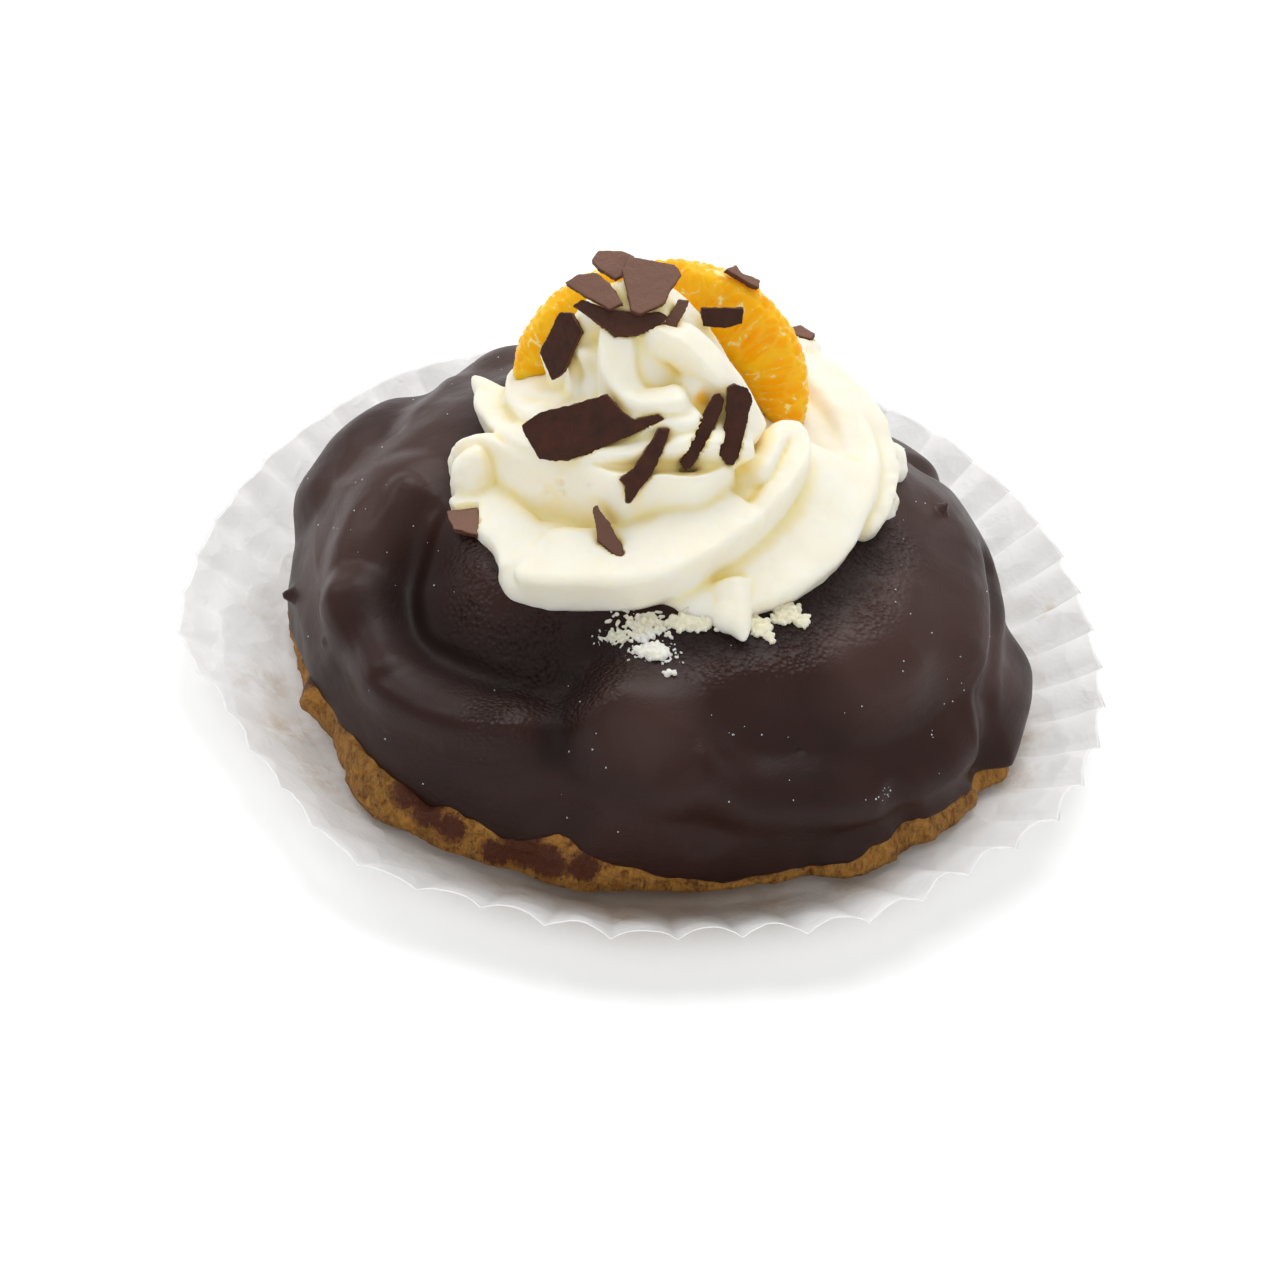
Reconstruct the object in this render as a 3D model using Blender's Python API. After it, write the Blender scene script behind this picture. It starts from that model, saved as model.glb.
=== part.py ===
"""A bossche bol in its pleated paper case: a round choux bun under poured chocolate glaze, topped
with a piped whirl of whipped cream, two mandarin segments and shards of chocolate.

Metres, +Z up. The origin is the middle of the case's underside, on the surface that it stands on.
+X runs to the right of the garnish, and -Y is its front. Azimuths are in degrees from +X.
"""

import math

import bmesh
import bpy
import numpy as np
from mathutils import Vector, noise

# Clearance between neighbouring pieces
GAP = 0.0003

# Paper case
# Rim radius of the slightly crumpled case, every 15 degrees
CASE_RIM = (
    0.0740, 0.0734, 0.0744, 0.0750, 0.0754, 0.0744, 0.0742, 0.0746, 0.0762, 0.0752, 0.0740, 0.0738,
    0.0748, 0.0762, 0.0728, 0.0736, 0.0765, 0.0742, 0.0745, 0.0734, 0.0751, 0.0737, 0.0758, 0.0754,
)
CASE_FLOOR_RADIUS = 0.059
CASE_RIM_HEIGHT = 0.0088
CASE_PAPER = 0.0005
CASE_PLEATS = 48
# Depth of the pleats at the rim, every 30 degrees
CASE_PLEAT_DEPTHS = (
    0.0010, 0.0011, 0.0011, 0.0011, 0.0010, 0.0008, 0.0006, 0.0006, 0.0007, 0.0007, 0.0008, 0.0009,
)
CASE_TIP_REACH = 0.0003
CASE_RIM_UNEVENNESS = 0.0004
CASE_WAVE_STEP = 0.37
CASE_WAVE_SEED = 1.7
CASE_WALL_CURVE = 1.4
# Share of the wall over which it bends up from the floor
CASE_BEND_SHARE = 1 / 3
CASE_WALL_STEPS = (0.0, 0.12, 0.4, 0.7, 1.0)

# Bun and the dome that the glaze follows
BUN_RADII = (0.0575, 0.0540, 0.0525, 0.0516, 0.0524, 0.0562, 0.0588, 0.0582, 0.0600, 0.0600, 0.0590, 0.0600)
DOME_FOOT = 0.0030
DOME_HEIGHT = 0.0362
DOME_ROUNDNESS = 0.88
DOME_FULLNESS = 0.52
BUN_BOTTOM = CASE_PAPER + GAP
BUN_BOTTOM_INSET = 0.0045
# The bun's rounded heel: how far inside the foot and above the bottom
HEEL_INSET = 0.0022
HEEL_HEIGHT = 0.0009
# Rings of bare crust between foot and edge, and how deep the crust lies at the foot, as shares
CRUST_SHARES = (0.0, 0.5, 0.95)
FOOT_DEPTH_SHARE = 0.45
DOME_COLUMNS = 72
LUMP_SIZE = 0.017
LUMP_DEPTH = 0.0009

# Glaze
GLAZE_THICKNESS = 0.0014
GLAZE_LIP = 0.0007
# The lip's outer and inner corners: rise over the edge, and depth of the outer one
LIP_OUTER_RISE = 0.010
LIP_OUTER_DEPTH = 0.0002
LIP_INNER_RISE = 0.004
GLAZE_RISES = (1.0, 0.92, 0.83, 0.74, 0.66, 0.58, 0.50, 0.43, 0.36, 0.29, 0.23, 0.17, 0.11, 0.06)
UNDER_RISES = (0.86, 0.68, 0.51, 0.36, 0.23, 0.12, 0.05)
# Height of the glaze's lower edge, every 15 degrees
GLAZE_EDGE = (
    0.0070, 0.0075, 0.0070, 0.0080, 0.0060, 0.0085, 0.0070, 0.0095, 0.0080, 0.0065, 0.0080, 0.0065,
    0.0055, 0.0062, 0.0102, 0.0096, 0.0094, 0.0094, 0.0094, 0.0052, 0.0056, 0.0080, 0.0074, 0.0060,
)
EDGE_WAVE = 0.0008
EDGE_WAVE_SIZE = 0.006

# Forms in the glazed dome: name, reach, depth (outwards is positive), and a path of (azimuth, rise),
# where rise goes from 0 at the foot to 1 at the top
RELIEF = (
    ("moat", 0.0115, -0.0042, ((-146, 0.44), (-134, 0.43), (-122, 0.43), (-112, 0.48))),
    ("moat rim", 0.0090, 0.0028, ((-147, 0.27), (-139, 0.22), (-129, 0.20), (-118, 0.25), (-108, 0.31))),
    ("front crease", 0.0080, -0.0026, ((-105, 0.52), (-104, 0.40), (-102, 0.27), (-99, 0.10))),
    ("front bulge", 0.0095, 0.0026, ((-96, 0.37), (-88, 0.36), (-83, 0.27))),
    ("shelf", 0.0100, 0.0028, ((-82, 0.24), (-73, 0.18), (-63, 0.14), (-53, 0.10), (-41, 0.08), (-27, 0.07))),
    ("hollow over shelf", 0.0115, -0.0032, ((-68, 0.33), (-56, 0.27), (-43, 0.22), (-32, 0.22))),
    ("left groove", 0.0080, -0.0018, ((-158, 0.46), (-152, 0.38), (-146, 0.31), (-141, 0.23))),
    ("left crest", 0.0085, 0.0014, ((-172, 0.52), (-160, 0.38), (-150, 0.26))),
    ("left outer groove", 0.0080, -0.0010, ((176, 0.36), (-166, 0.24), (-153, 0.14))),
    ("cream rest", 0.0120, -0.0012, ((-20, 0.66), (-70, 0.60), (-120, 0.60), (-160, 0.62))),
    ("right rear crease", 0.0065, -0.0014, ((-27, 0.0), (-24, 0.10), (-12, 0.19), (4, 0.22))),
    ("right rear lobe", 0.0095, 0.0056, ((-25, 0.0), (-16, 0.012), (-5, 0.015))),
    ("right foot", 0.0120, 0.0034, ((-58, 0.0), (-47, 0.0), (-35, 0.0))),
    ("left rear lobe", 0.0100, 0.0035, ((150, 0.16), (163, 0.20), (174, 0.15))),
    ("left rear crease", 0.0070, -0.0012, ((140, 0.05), (148, 0.30), (165, 0.38))),
    ("rear valley", 0.0090, -0.0026, ((58, 0.46), (78, 0.36), (96, 0.28), (104, 0.12))),
    ("rear bulge", 0.0120, 0.0030, ((112, 0.22), (126, 0.24))),
    ("rear shelf", 0.0095, 0.0020, ((36, 0.15), (56, 0.11), (82, 0.10))),
    ("rear crease", 0.0070, -0.0012, ((30, 0.32), (26, 0.14), (24, 0.02))),
)
NUB_REACH = 0.0026
NUBS = ((8, 0.44, 0.0016), (-167, 0.06, 0.0018), (71, 0.52, 0.0012))

# Crust that stands out below the glaze: azimuth, rise, reach and depth
CRUST_FLAPS = (
    (-149, 0.012, 0.0055, 0.0032), (-133, 0.0, 0.0120, 0.0020), (-124, 0.0, 0.0140, 0.0026),
    (-112, 0.0, 0.0120, 0.0018), (-97, 0.0, 0.0100, 0.0018), (97, 0.010, 0.0060, 0.0022),
)
CRAG_SIZE = 0.0045
CRAG_DEPTH = 0.0005
# Rise over which the crags fade towards the glaze's edge
BARE_FADE = 0.012

# Whipped cream
CREAM_TRIANGLES = 3600
CREAM_GRAIN = 0.0008
CREAM_CORE = (
    (0.0285, 0.031), (0.0285, 0.036), (0.0235, 0.0395), (0.0178, 0.0430), (0.0145, 0.0470),
    (0.0128, 0.0520), (0.0100, 0.0568), (0.0068, 0.0620), (0.0049, 0.0655), (0.0038, 0.0682),
    (0.0024, 0.0700), (0.0008, 0.0708),
)
PEAK_X = -0.0090
PEAK_Y = 0.0008
PEAK_BEND_START = 0.040
CORE_SIDES = 28
CORE_TIP = 0.0006
# Rounding of an arm's ends, as a share of its length, and the pinched crest on its outer upper corner
END_SHARE = 0.08
CREST_ANGLE = math.radians(50)
CREST_SPREAD = 0.55
# Pulls the arms' round section towards a box: 1 is round
SQUARENESS = 0.6
ARM_SIDES = 16
POINTS_PER_KNOT = 4
# Arms of the whirl: name, half width and half height across the arm, tilt in degrees (outer side
# down), pinch of the crest, and a path of (azimuth, radius, height)
ARMS = (
    ("right shelf front", 0.0080, 0.0042, 22, 0.14, (
        (-86, 0.0222, 0.0354), (-76, 0.0248, 0.0358), (-67, 0.0262, 0.0362), (-55, 0.0260, 0.0369),
        (-35, 0.0252, 0.0379), (-15, 0.0244, 0.0399), (-4, 0.0240, 0.0405), (4, 0.0238, 0.0400))),
    ("right shelf back", 0.0080, 0.0042, -10, 0.14, (
        (-14, 0.0254, 0.0356), (-2, 0.0258, 0.0366), (12, 0.0259, 0.0376), (30, 0.0258, 0.0386),
        (48, 0.0251, 0.0391), (68, 0.0229, 0.0408), (95, 0.0199, 0.0438), (125, 0.0159, 0.0478))),
    ("outer right", 0.0052, 0.0052, 20, 0.16, (
        (-16, 0.0275, 0.0335), (-7, 0.0290, 0.0347), (6, 0.0305, 0.0362), (15, 0.0305, 0.0372),
        (25, 0.0307, 0.0385), (36, 0.0305, 0.0394), (54, 0.0302, 0.0402), (76, 0.0285, 0.0412),
        (100, 0.0255, 0.0430), (126, 0.0218, 0.0458), (152, 0.0175, 0.0490), (178, 0.0140, 0.0520))),
    ("outer rear", 0.0056, 0.0046, 18, 0.16, (
        (62, 0.0300, 0.0355), (82, 0.0318, 0.0352), (104, 0.0300, 0.0362), (126, 0.0262, 0.0378),
        (148, 0.0212, 0.0405), (168, 0.0180, 0.0420))),
    ("outer left", 0.0046, 0.0046, 14, 0.22, (
        (154, 0.0284, 0.0370), (161, 0.0278, 0.0374), (168, 0.0253, 0.0379), (178, 0.0229, 0.0390),
        (188, 0.0215, 0.0408), (198, 0.0206, 0.0430), (216, 0.0184, 0.0460), (236, 0.0160, 0.0486),
        (258, 0.0138, 0.0508), (282, 0.0130, 0.0526), (304, 0.0140, 0.0522), (316, 0.0155, 0.0500))),
    ("upper left", 0.0046, 0.0052, 15, 0.14, (
        (138, 0.0225, 0.0392), (152, 0.0240, 0.0400), (160, 0.0228, 0.0406), (170, 0.0205, 0.0415),
        (180, 0.0188, 0.0428), (190, 0.0172, 0.0448), (208, 0.0152, 0.0478), (228, 0.0132, 0.0502))),
    ("inner front", 0.0040, 0.0036, 10, 0.12, (
        (215, 0.0135, 0.0525), (236, 0.0132, 0.0535), (256, 0.0122, 0.0545), (274, 0.0118, 0.0550),
        (288, 0.0110, 0.0555))),
    ("inner rear", 0.0048, 0.0044, 18, 0.16, (
        (52, 0.0185, 0.0450), (66, 0.0175, 0.0475), (85, 0.0160, 0.0500), (125, 0.0150, 0.0535),
        (165, 0.0118, 0.0560), (200, 0.0095, 0.0585))),
)
# Bands and ridges: the same, with a path of (x, y, z)
RIDGES = (
    ("front shelf", 0.0062, 0.0042, 10, 0.16, (
        (-0.0188, -0.0266, 0.0360), (-0.0160, -0.0278, 0.0368), (-0.0132, -0.0282, 0.0378),
        (-0.0086, -0.0281, 0.0383), (-0.0046, -0.0281, 0.0389),
        (-0.0016, -0.0276, 0.0399), (0.0012, -0.0262, 0.0411), (0.0055, -0.0226, 0.0425),
        (0.0094, -0.0184, 0.0437), (0.0112, -0.0160, 0.0443))),
    ("front hairpin", 0.0020, 0.0030, 0, 0.12, (
        (-0.0030, -0.0318, 0.0390), (0.0035, -0.0302, 0.0405), (0.0085, -0.0258, 0.0421),
        (0.0128, -0.0212, 0.0434), (0.0162, -0.0163, 0.0451), (0.0186, -0.0114, 0.0464),
        (0.0197, -0.0067, 0.0471), (0.0190, -0.0041, 0.0477), (0.0178, -0.0033, 0.0481),
        (0.0163, -0.0050, 0.0481), (0.0151, -0.0082, 0.0481), (0.0143, -0.0117, 0.0480),
        (0.0133, -0.0145, 0.0470))),
    ("front wall", 0.0019, 0.0064, -6, 0.20, (
        (-0.0332, -0.0058, 0.0358), (-0.0278, -0.0066, 0.0376), (-0.0224, -0.0110, 0.0389),
        (-0.0175, -0.0144, 0.0405), (-0.0127, -0.0169, 0.0425), (-0.0090, -0.0195, 0.0438),
        (-0.0053, -0.0212, 0.0447), (-0.0011, -0.0206, 0.0452), (0.0020, -0.0203, 0.0452),
        (0.0051, -0.0197, 0.0452), (0.0077, -0.0172, 0.0452), (0.0101, -0.0143, 0.0452))),
    ("left skirt", 0.0046, 0.0050, 16, 0.10, (
        (-0.0290, -0.0088, 0.0316), (-0.0258, -0.0134, 0.0326), (-0.0228, -0.0178, 0.0336),
        (-0.0200, -0.0222, 0.0345), (-0.0186, -0.0262, 0.0348), (-0.0178, -0.0296, 0.0346))),
    ("peak front", 0.0028, 0.0032, 0, 0.12, (
        (-0.0095, -0.0005, 0.0665), (-0.0098, -0.0045, 0.0622), (-0.0088, -0.0082, 0.0582),
        (-0.0060, -0.0108, 0.0562), (-0.0015, -0.0115, 0.0568), (0.0025, -0.0108, 0.0585))),
    ("peak right", 0.0030, 0.0028, 0, 0.12, (
        (-0.0075, -0.0005, 0.0668), (-0.0035, -0.0028, 0.0645), (0.0005, -0.0040, 0.0635),
        (0.0055, -0.0060, 0.0600), (0.0092, -0.0078, 0.0558), (0.0120, -0.0092, 0.0515))),
    ("peak inner", 0.0038, 0.0032, 0, 0.12, (
        (-0.0075, 0.0020, 0.0670), (-0.0035, 0.0035, 0.0640), (0.0002, 0.0030, 0.0600),
        (0.0035, 0.0005, 0.0560), (0.0070, -0.0025, 0.0520))),
    ("left flank", 0.0030, 0.0034, 0, 0.12, (
        (-0.0105, 0.0010, 0.0665), (-0.0132, 0.0015, 0.0615), (-0.0140, 0.0010, 0.0565),
        (-0.0138, -0.0010, 0.0520), (-0.0120, -0.0050, 0.0490))),
    ("left lobe", 0.0058, 0.0048, 10, 0.05, (
        (-0.0232, 0.0100, 0.0405), (-0.0200, 0.0070, 0.0425), (-0.0165, 0.0040, 0.0446),
        (-0.0130, 0.0005, 0.0468), (-0.0100, -0.0030, 0.0482))),
    ("peak rear", 0.0036, 0.0034, 0, 0.12, (
        (-0.0095, 0.0030, 0.0660), (-0.0120, 0.0070, 0.0600), (-0.0130, 0.0110, 0.0550),
        (-0.0160, 0.0150, 0.0500))),
)
# Soft lumps that fill out the whirl: middle and half sizes
LUMPS = (
    ((-0.0184, -0.0280, 0.0352), (0.0050, 0.0052, 0.0050)),
    ((-0.0140, -0.0225, 0.0372), (0.0080, 0.0050, 0.0034)),
    ((0.0120, -0.0100, 0.0450), (0.0050, 0.0056, 0.0054)),
    ((0.0030, -0.0052, 0.0560), (0.0044, 0.0058, 0.0060)),
    ((0.0118, -0.0305, 0.0358), (0.0036, 0.0050, 0.0032)),
    ((0.0080, -0.0290, 0.0355), (0.0060, 0.0050, 0.0036)),
    ((0.0330, 0.0010, 0.0345), (0.0040, 0.0050, 0.0042)),
    ((0.0345, 0.0095, 0.0365), (0.0034, 0.0044, 0.0038)),
)
# Flicks of cream at the foot: start, end and radius at the start
FLICKS = (
    ((0.0112, -0.0282, 0.0368), (0.0146, -0.0372, 0.0350), 0.0042),
    ((-0.0270, 0.0085, 0.0382), (-0.0330, 0.0142, 0.0412), 0.0036),
    ((0.0040, 0.0300, 0.0370), (0.0050, 0.0362, 0.0362), 0.0034),
)
FLICK_SIDES = 12
FLICK_SHARES = (0.0, 0.18, 0.37, 0.55, 0.74, 0.92)
FLICK_FULLNESS = 0.7

# Mandarin segments: middle of the outer arc, its radius, the ends of the arc in degrees from +X
# towards +Z, the lean of the arc's plane, thickness and breadth
MANDARINS = {
    "mandarin_right": ((-0.0025, 0.0105, 0.0430), 0.0242, (-10, 104), 15, 0.0105, 0.0122),
    "mandarin_left": ((-0.0025, 0.0105, 0.0430), 0.0242, (108, 192), 15, 0.0100, 0.0112),
}
MANDARIN_STEPS = 16
MANDARIN_SIDES = 14
# Share of the breadth at the pointed ends, how round they are, and how much fuller the back is
END_BREADTH = 0.35
END_ROUNDNESS = 0.45
BACK_FULLNESS = 0.20

# Chocolate shards: place, way it faces, thickness, and outline in its own plane: x level, y up the
# slope
SHARDS = {
    "shard_top_left": ((-0.0117, 0.0042, 0.0714), (-0.10, -0.45, 0.90), 0.0010, (
        (-0.0035, -0.0005), (-0.0030, 0.0015), (0.0005, 0.0025), (0.0025, 0.0020), (0.0030, 0.0005),
        (0.0020, -0.0015), (0.0010, -0.0025), (-0.0020, -0.0015))),
    "shard_top_front": ((-0.0142, -0.0016, 0.0704), (-0.15, -0.50, 0.85), 0.0010, (
        (-0.0045, -0.0005), (-0.0030, 0.0015), (-0.0005, 0.0025), (0.0020, 0.0015), (0.0052, -0.0010),
        (0.0035, -0.0025), (-0.0010, -0.0015))),
    "shard_top": ((-0.0057, -0.0001, 0.0713), (0.05, -0.50, 0.86), 0.0010, (
        (-0.0045, 0.0020), (-0.0035, 0.0045), (0.0, 0.0040), (0.0035, 0.0035), (0.0045, 0.0020),
        (0.0030, -0.0005), (0.0020, -0.0030), (-0.0015, -0.0050), (-0.0030, -0.0045), (-0.0035, -0.0020))),
    "shard_under_top": ((-0.0091, -0.0036, 0.0672), (0.0, -0.70, 0.71), 0.0011, (
        (-0.0080, 0.0010), (-0.0065, 0.0020), (-0.0025, 0.0010), (0.0020, 0.0010), (0.0055, 0.0015),
        (0.0065, 0.0010), (0.0055, -0.0005), (0.0020, -0.0025), (-0.0010, -0.0030), (-0.0035, -0.0015))),
    "shard_left": ((-0.0182, -0.0013, 0.0599), (-0.52, -0.78, 0.36), 0.0010, (
        (-0.0020, 0.0040), (0.0, 0.0050), (0.0030, 0.0030), (0.0025, 0.0010), (0.0020, -0.0040),
        (0.0005, -0.0060), (-0.0030, -0.0030))),
    "shard_large": ((-0.0115, -0.0152, 0.0552), (-0.10, -0.86, 0.50), 0.0011, (
        (-0.0110, -0.0020), (-0.0085, 0.0005), (-0.0040, 0.0025), (0.0010, 0.0050), (0.0035, 0.0030),
        (0.0055, 0.0020), (0.0090, 0.0035), (0.0100, 0.0030), (0.0060, 0.0), (-0.0005, -0.0045),
        (-0.0035, -0.0060), (-0.0075, -0.0065))),
    "shard_front": ((-0.0037, -0.0205, 0.0528), (0.15, -0.75, 0.65), 0.0013, (
        (0.0025, 0.0055), (0.0040, 0.0055), (0.0035, 0.0035), (0.0015, -0.0010), (-0.0020, -0.0055),
        (-0.0027, -0.0055), (-0.0027, -0.0030), (-0.0035, -0.0020), (-0.0015, -0.0005), (0.0005, 0.0025))),
    "shard_rod": ((0.0044, -0.0146, 0.0559), (0.10, -0.75, 0.65), 0.0015, (
        (0.0015, 0.0055), (0.0025, 0.0060), (0.0033, 0.0050), (0.0028, 0.0030), (0.0010, -0.0010),
        (-0.0012, -0.0050), (-0.0022, -0.0058), (-0.0031, -0.0046), (-0.0012, -0.0010), (0.0003, 0.0030))),
    "shard_right": ((0.0093, -0.0130, 0.0570), (0.10, -0.80, 0.60), 0.0013, (
        (-0.0015, 0.0055), (-0.0005, 0.0060), (0.0015, 0.0055), (0.0024, 0.0040), (0.0020, 0.0020),
        (0.0015, -0.0010), (0.0006, -0.0050), (0.0, -0.0062), (-0.0010, -0.0060), (-0.0023, -0.0045),
        (-0.0016, -0.0020), (-0.0014, 0.0015))),
    "shard_pointed": ((-0.0078, -0.0262, 0.0438), (-0.10, -0.60, 0.79), 0.0010, (
        (-0.0030, 0.0033), (-0.0025, 0.0038), (-0.0000, 0.0015), (0.0025, -0.0011), (0.0035, -0.0031),
        (0.0022, -0.0031), (-0.0011, -0.0015), (-0.0017, 0.0003))),
    "shard_on_glaze": ((-0.0298, -0.0174, 0.0357), (-0.26, -0.10, 0.96), 0.0010, (
        (-0.0035, -0.0020), (-0.0020, 0.0027), (0.0020, 0.0020), (0.0040, 0.0010), (0.0010, -0.0020),
        (-0.0020, -0.0022))),
    "shard_on_mandarin": ((0.0057, 0.0038, 0.0644), (0.10, -0.86, 0.50), 0.0012, (
        (-0.0035, 0.0015), (0.0030, 0.0018), (0.0030, -0.0006), (0.0, -0.0014), (-0.0030, -0.0013))),
    "shard_small": ((-0.0014, 0.0003, 0.0667), (0.10, -0.60, 0.80), 0.0010, (
        (0.0003, 0.0020), (0.0019, 0.0020), (0.0014, 0.0006), (-0.0005, -0.0030), (-0.0025, -0.0025),
        (-0.0010, 0.0))),
    "shard_behind": ((0.0083, 0.0150, 0.0649), (0.35, -0.20, 0.90), 0.0010, (
        (-0.0019, 0.0028), (0.0004, 0.0023), (0.0, 0.0008), (0.0017, -0.0019), (0.0004, -0.0027),
        (-0.0005, -0.0014))),
    "shard_right_rear": ((0.0193, 0.0309, 0.0453), (0.0, -0.30, 0.95), 0.0010, (
        (-0.0026, 0.0003), (-0.0005, 0.0015), (0.0022, 0.0), (0.0014, -0.0012), (-0.0010, -0.0008))),
    "shard_rear": ((-0.0060, 0.0242, 0.0503), (-0.25, 0.76, 0.61), 0.0010, (
        (-0.0055, -0.0010), (-0.0025, 0.0030), (0.0015, 0.0035), (0.0055, 0.0005), (0.0035, -0.0030),
        (-0.0020, -0.0032))),
    "shard_rear_left": ((-0.0233, 0.0193, 0.0432), (-0.50, 0.42, 0.76), 0.0011, (
        (-0.0050, 0.0005), (0.0, 0.0024), (0.0048, 0.0016), (0.0040, -0.0012), (-0.0030, -0.0018))),
}
# Clearance of the cream from the fruit and the shards
TOPPING_CLEARANCE = 0.00035
# Keeps the mitres of very sharp corners short
MITRE_LIMIT = 0.35

# Materials: colour and roughness, and the cream's and fruit's share of subsurface light
PAPER_COLOUR = (0.86, 0.86, 0.84)
PAPER_ROUGHNESS = 0.55
CRUST_COLOUR = (0.40, 0.19, 0.045)
CRUST_ROUGHNESS = 0.65
GLAZE_COLOUR = (0.030, 0.012, 0.009)
GLAZE_ROUGHNESS = 0.40
CREAM_COLOUR = (0.92, 0.86, 0.68)
CREAM_ROUGHNESS = 0.45
MANDARIN_COLOUR = (0.95, 0.42, 0.02)
MANDARIN_ROUGHNESS = 0.25
SHARD_COLOUR = (0.085, 0.030, 0.020)
SHARD_ROUGHNESS = 0.50
SOFT_SUBSURFACE = 0.3
# Edges sharper than this many degrees stay sharp in the shading
CREASE_ANGLE = 15
CRUST_ANGLE = 40
SOFT_ANGLE = 60


def clear_scene():
    for obj in list(bpy.data.objects):
        bpy.data.objects.remove(obj, do_unlink=True)


def material(name, colour, roughness, subsurface=0.0):
    made = bpy.data.materials.new(name)
    made.use_nodes = True
    shader = made.node_tree.nodes["Principled BSDF"]
    shader.inputs["Base Color"].default_value = (*colour, 1.0)
    shader.inputs["Roughness"].default_value = roughness
    shader.inputs["Metallic"].default_value = 0.0
    shader.inputs["Subsurface Weight"].default_value = subsurface
    return made


def add_object(name, mesh, surface=None):
    obj = bpy.data.objects.new(name, mesh)
    bpy.context.scene.collection.objects.link(obj)
    if surface:
        mesh.materials.append(surface)
    return obj


def mesh_of(name, points, faces):
    mesh = bpy.data.meshes.new(name)
    mesh.from_pydata([tuple(p) for p in points], [], faces)
    mesh.validate()
    return mesh


def helper(name, mesh):
    """An object that only cuts or joins others."""
    obj = add_object(name, mesh)
    obj.hide_render = True
    obj.display_type = "WIRE"
    return obj


def evaluated_mesh(obj):
    graph = bpy.context.evaluated_depsgraph_get()
    return bpy.data.meshes.new_from_object(obj.evaluated_get(graph))


def smooth_shade(obj, angle):
    obj.data.shade_smooth()
    obj.data.set_sharp_from_angle(angle=math.radians(angle))


def bridge(first, second, count, downwards=False):
    """Triangles between two rings, by the index of the first point of each, split the same way
    whether the rings are taken upwards or downwards."""
    faces = []
    for j in range(count):
        k = (j + 1) % count
        if downwards:
            faces += [(first + j, first + k, second + j), (first + k, second + k, second + j)]
        else:
            faces += [(first + j, first + k, second + k), (first + j, second + k, second + j)]
    return faces


def fan(ring, centre, count, flip=False):
    """Triangles from a ring of points to one middle point."""
    faces = []
    for j in range(count):
        k = (j + 1) % count
        faces.append((ring + k, ring + j, centre) if flip else (ring + j, ring + k, centre))
    return faces


def closed_body(name, rings, bottom, top):
    """A closed mesh through rings of points from the bottom up, with a point at each end."""
    count = len(rings[0])
    points = [p for ring in rings for p in ring]
    points += [bottom, top]
    low = len(points) - 2
    high = low + 1
    faces = fan(0, low, count, flip=True)
    for i in range(len(rings) - 1):
        faces += bridge(i * count, (i + 1) * count, count)
    faces += fan((len(rings) - 1) * count, high, count)
    return mesh_of(name, points, faces)


def smooth_path(points, count):
    """Evenly counted points on a Catmull-Rom curve through the given points."""
    knots = np.asarray(points, float)
    knots = np.vstack([2 * knots[0] - knots[1], knots, 2 * knots[-1] - knots[-2]])
    place = np.linspace(0, len(points) - 1, count)
    start = np.minimum(place.astype(int), len(points) - 2)
    f = (place - start)[:, None]
    a, b, c, d = (knots[start + k] for k in range(4))
    return b + f / 2 * (c - a + f * (2 * a - 5 * b + 4 * c - d + f * (3 * (b - c) + d - a)))


def ring_value(values, azimuth):
    """The value at an azimuth, on a smooth closed curve through evenly spaced values."""
    ring = np.asarray(values)
    place = np.asarray(azimuth) / 360 * len(ring)
    start = np.floor(place).astype(int)
    f = place - start
    a, b, c, d = (ring[(start + k) % len(ring)] for k in (-1, 0, 1, 2))
    return b + f / 2 * (c - a + f * (2 * a - 5 * b + 4 * c - d + f * (3 * (b - c) + d - a)))


def noise_at(points, size, offset=0.0):
    """Smooth noise from -1 to 1 at each point, with features of the given size."""
    shift = Vector((offset, offset * 0.7, offset * 1.3))
    return np.array([noise.noise(Vector(p) / size + shift) for p in points])


def unit(vectors):
    return vectors / np.linalg.norm(vectors, axis=-1, keepdims=True)


def dome_base(azimuth, rise):
    """Points of the plain dome, before its relief."""
    around = np.radians(azimuth)
    climb = np.radians(90) * np.clip(rise, 0, 1)
    radius = ring_value(BUN_RADII, azimuth) * np.clip(np.cos(climb), 0, 1) ** DOME_ROUNDNESS
    height = DOME_FOOT + DOME_HEIGHT * np.sin(climb) ** DOME_FULLNESS
    return np.stack([radius * np.cos(around), radius * np.sin(around), height], axis=-1)


def dome_normals(azimuth, rise):
    step_around = 0.5
    step_up = 0.004
    low = np.clip(rise - step_up, 0, 0.99)
    high = np.clip(rise + step_up, 0.01, 1)
    rise = np.clip(rise, 0, 0.985)
    across = dome_base(azimuth + step_around, rise) - dome_base(azimuth - step_around, rise)
    upward = dome_base(azimuth, high) - dome_base(azimuth, low)
    return unit(np.cross(across, upward))


def falloff(distance, reach):
    return np.clip(1 - (distance / reach) ** 2, 0, 1) ** 2


def distance_to_path(points, path):
    """Distance from each point to a polyline."""
    nearest = np.full(len(points), np.inf)
    for start, end in zip(path[:-1], path[1:]):
        along = end - start
        place = np.clip((points - start) @ along / (along @ along), 0, 1)
        offset = points - start - place[:, None] * along
        nearest = np.minimum(nearest, np.linalg.norm(offset, axis=1))
    return nearest


def relief(points):
    """How far the glazed surface stands out of the plain dome at each of its points."""
    height = LUMP_DEPTH * noise_at(points, LUMP_SIZE)
    for _, reach, depth, path in RELIEF:
        fine = smooth_path(path, 3 * len(path))
        height += depth * falloff(distance_to_path(points, dome_base(fine[:, 0], fine[:, 1])), reach)
    for azimuth, rise, depth in NUBS:
        middle = dome_base(np.array([azimuth]), np.array([rise]))[0]
        height += depth * falloff(np.linalg.norm(points - middle, axis=1), NUB_REACH)
    return height


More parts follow.
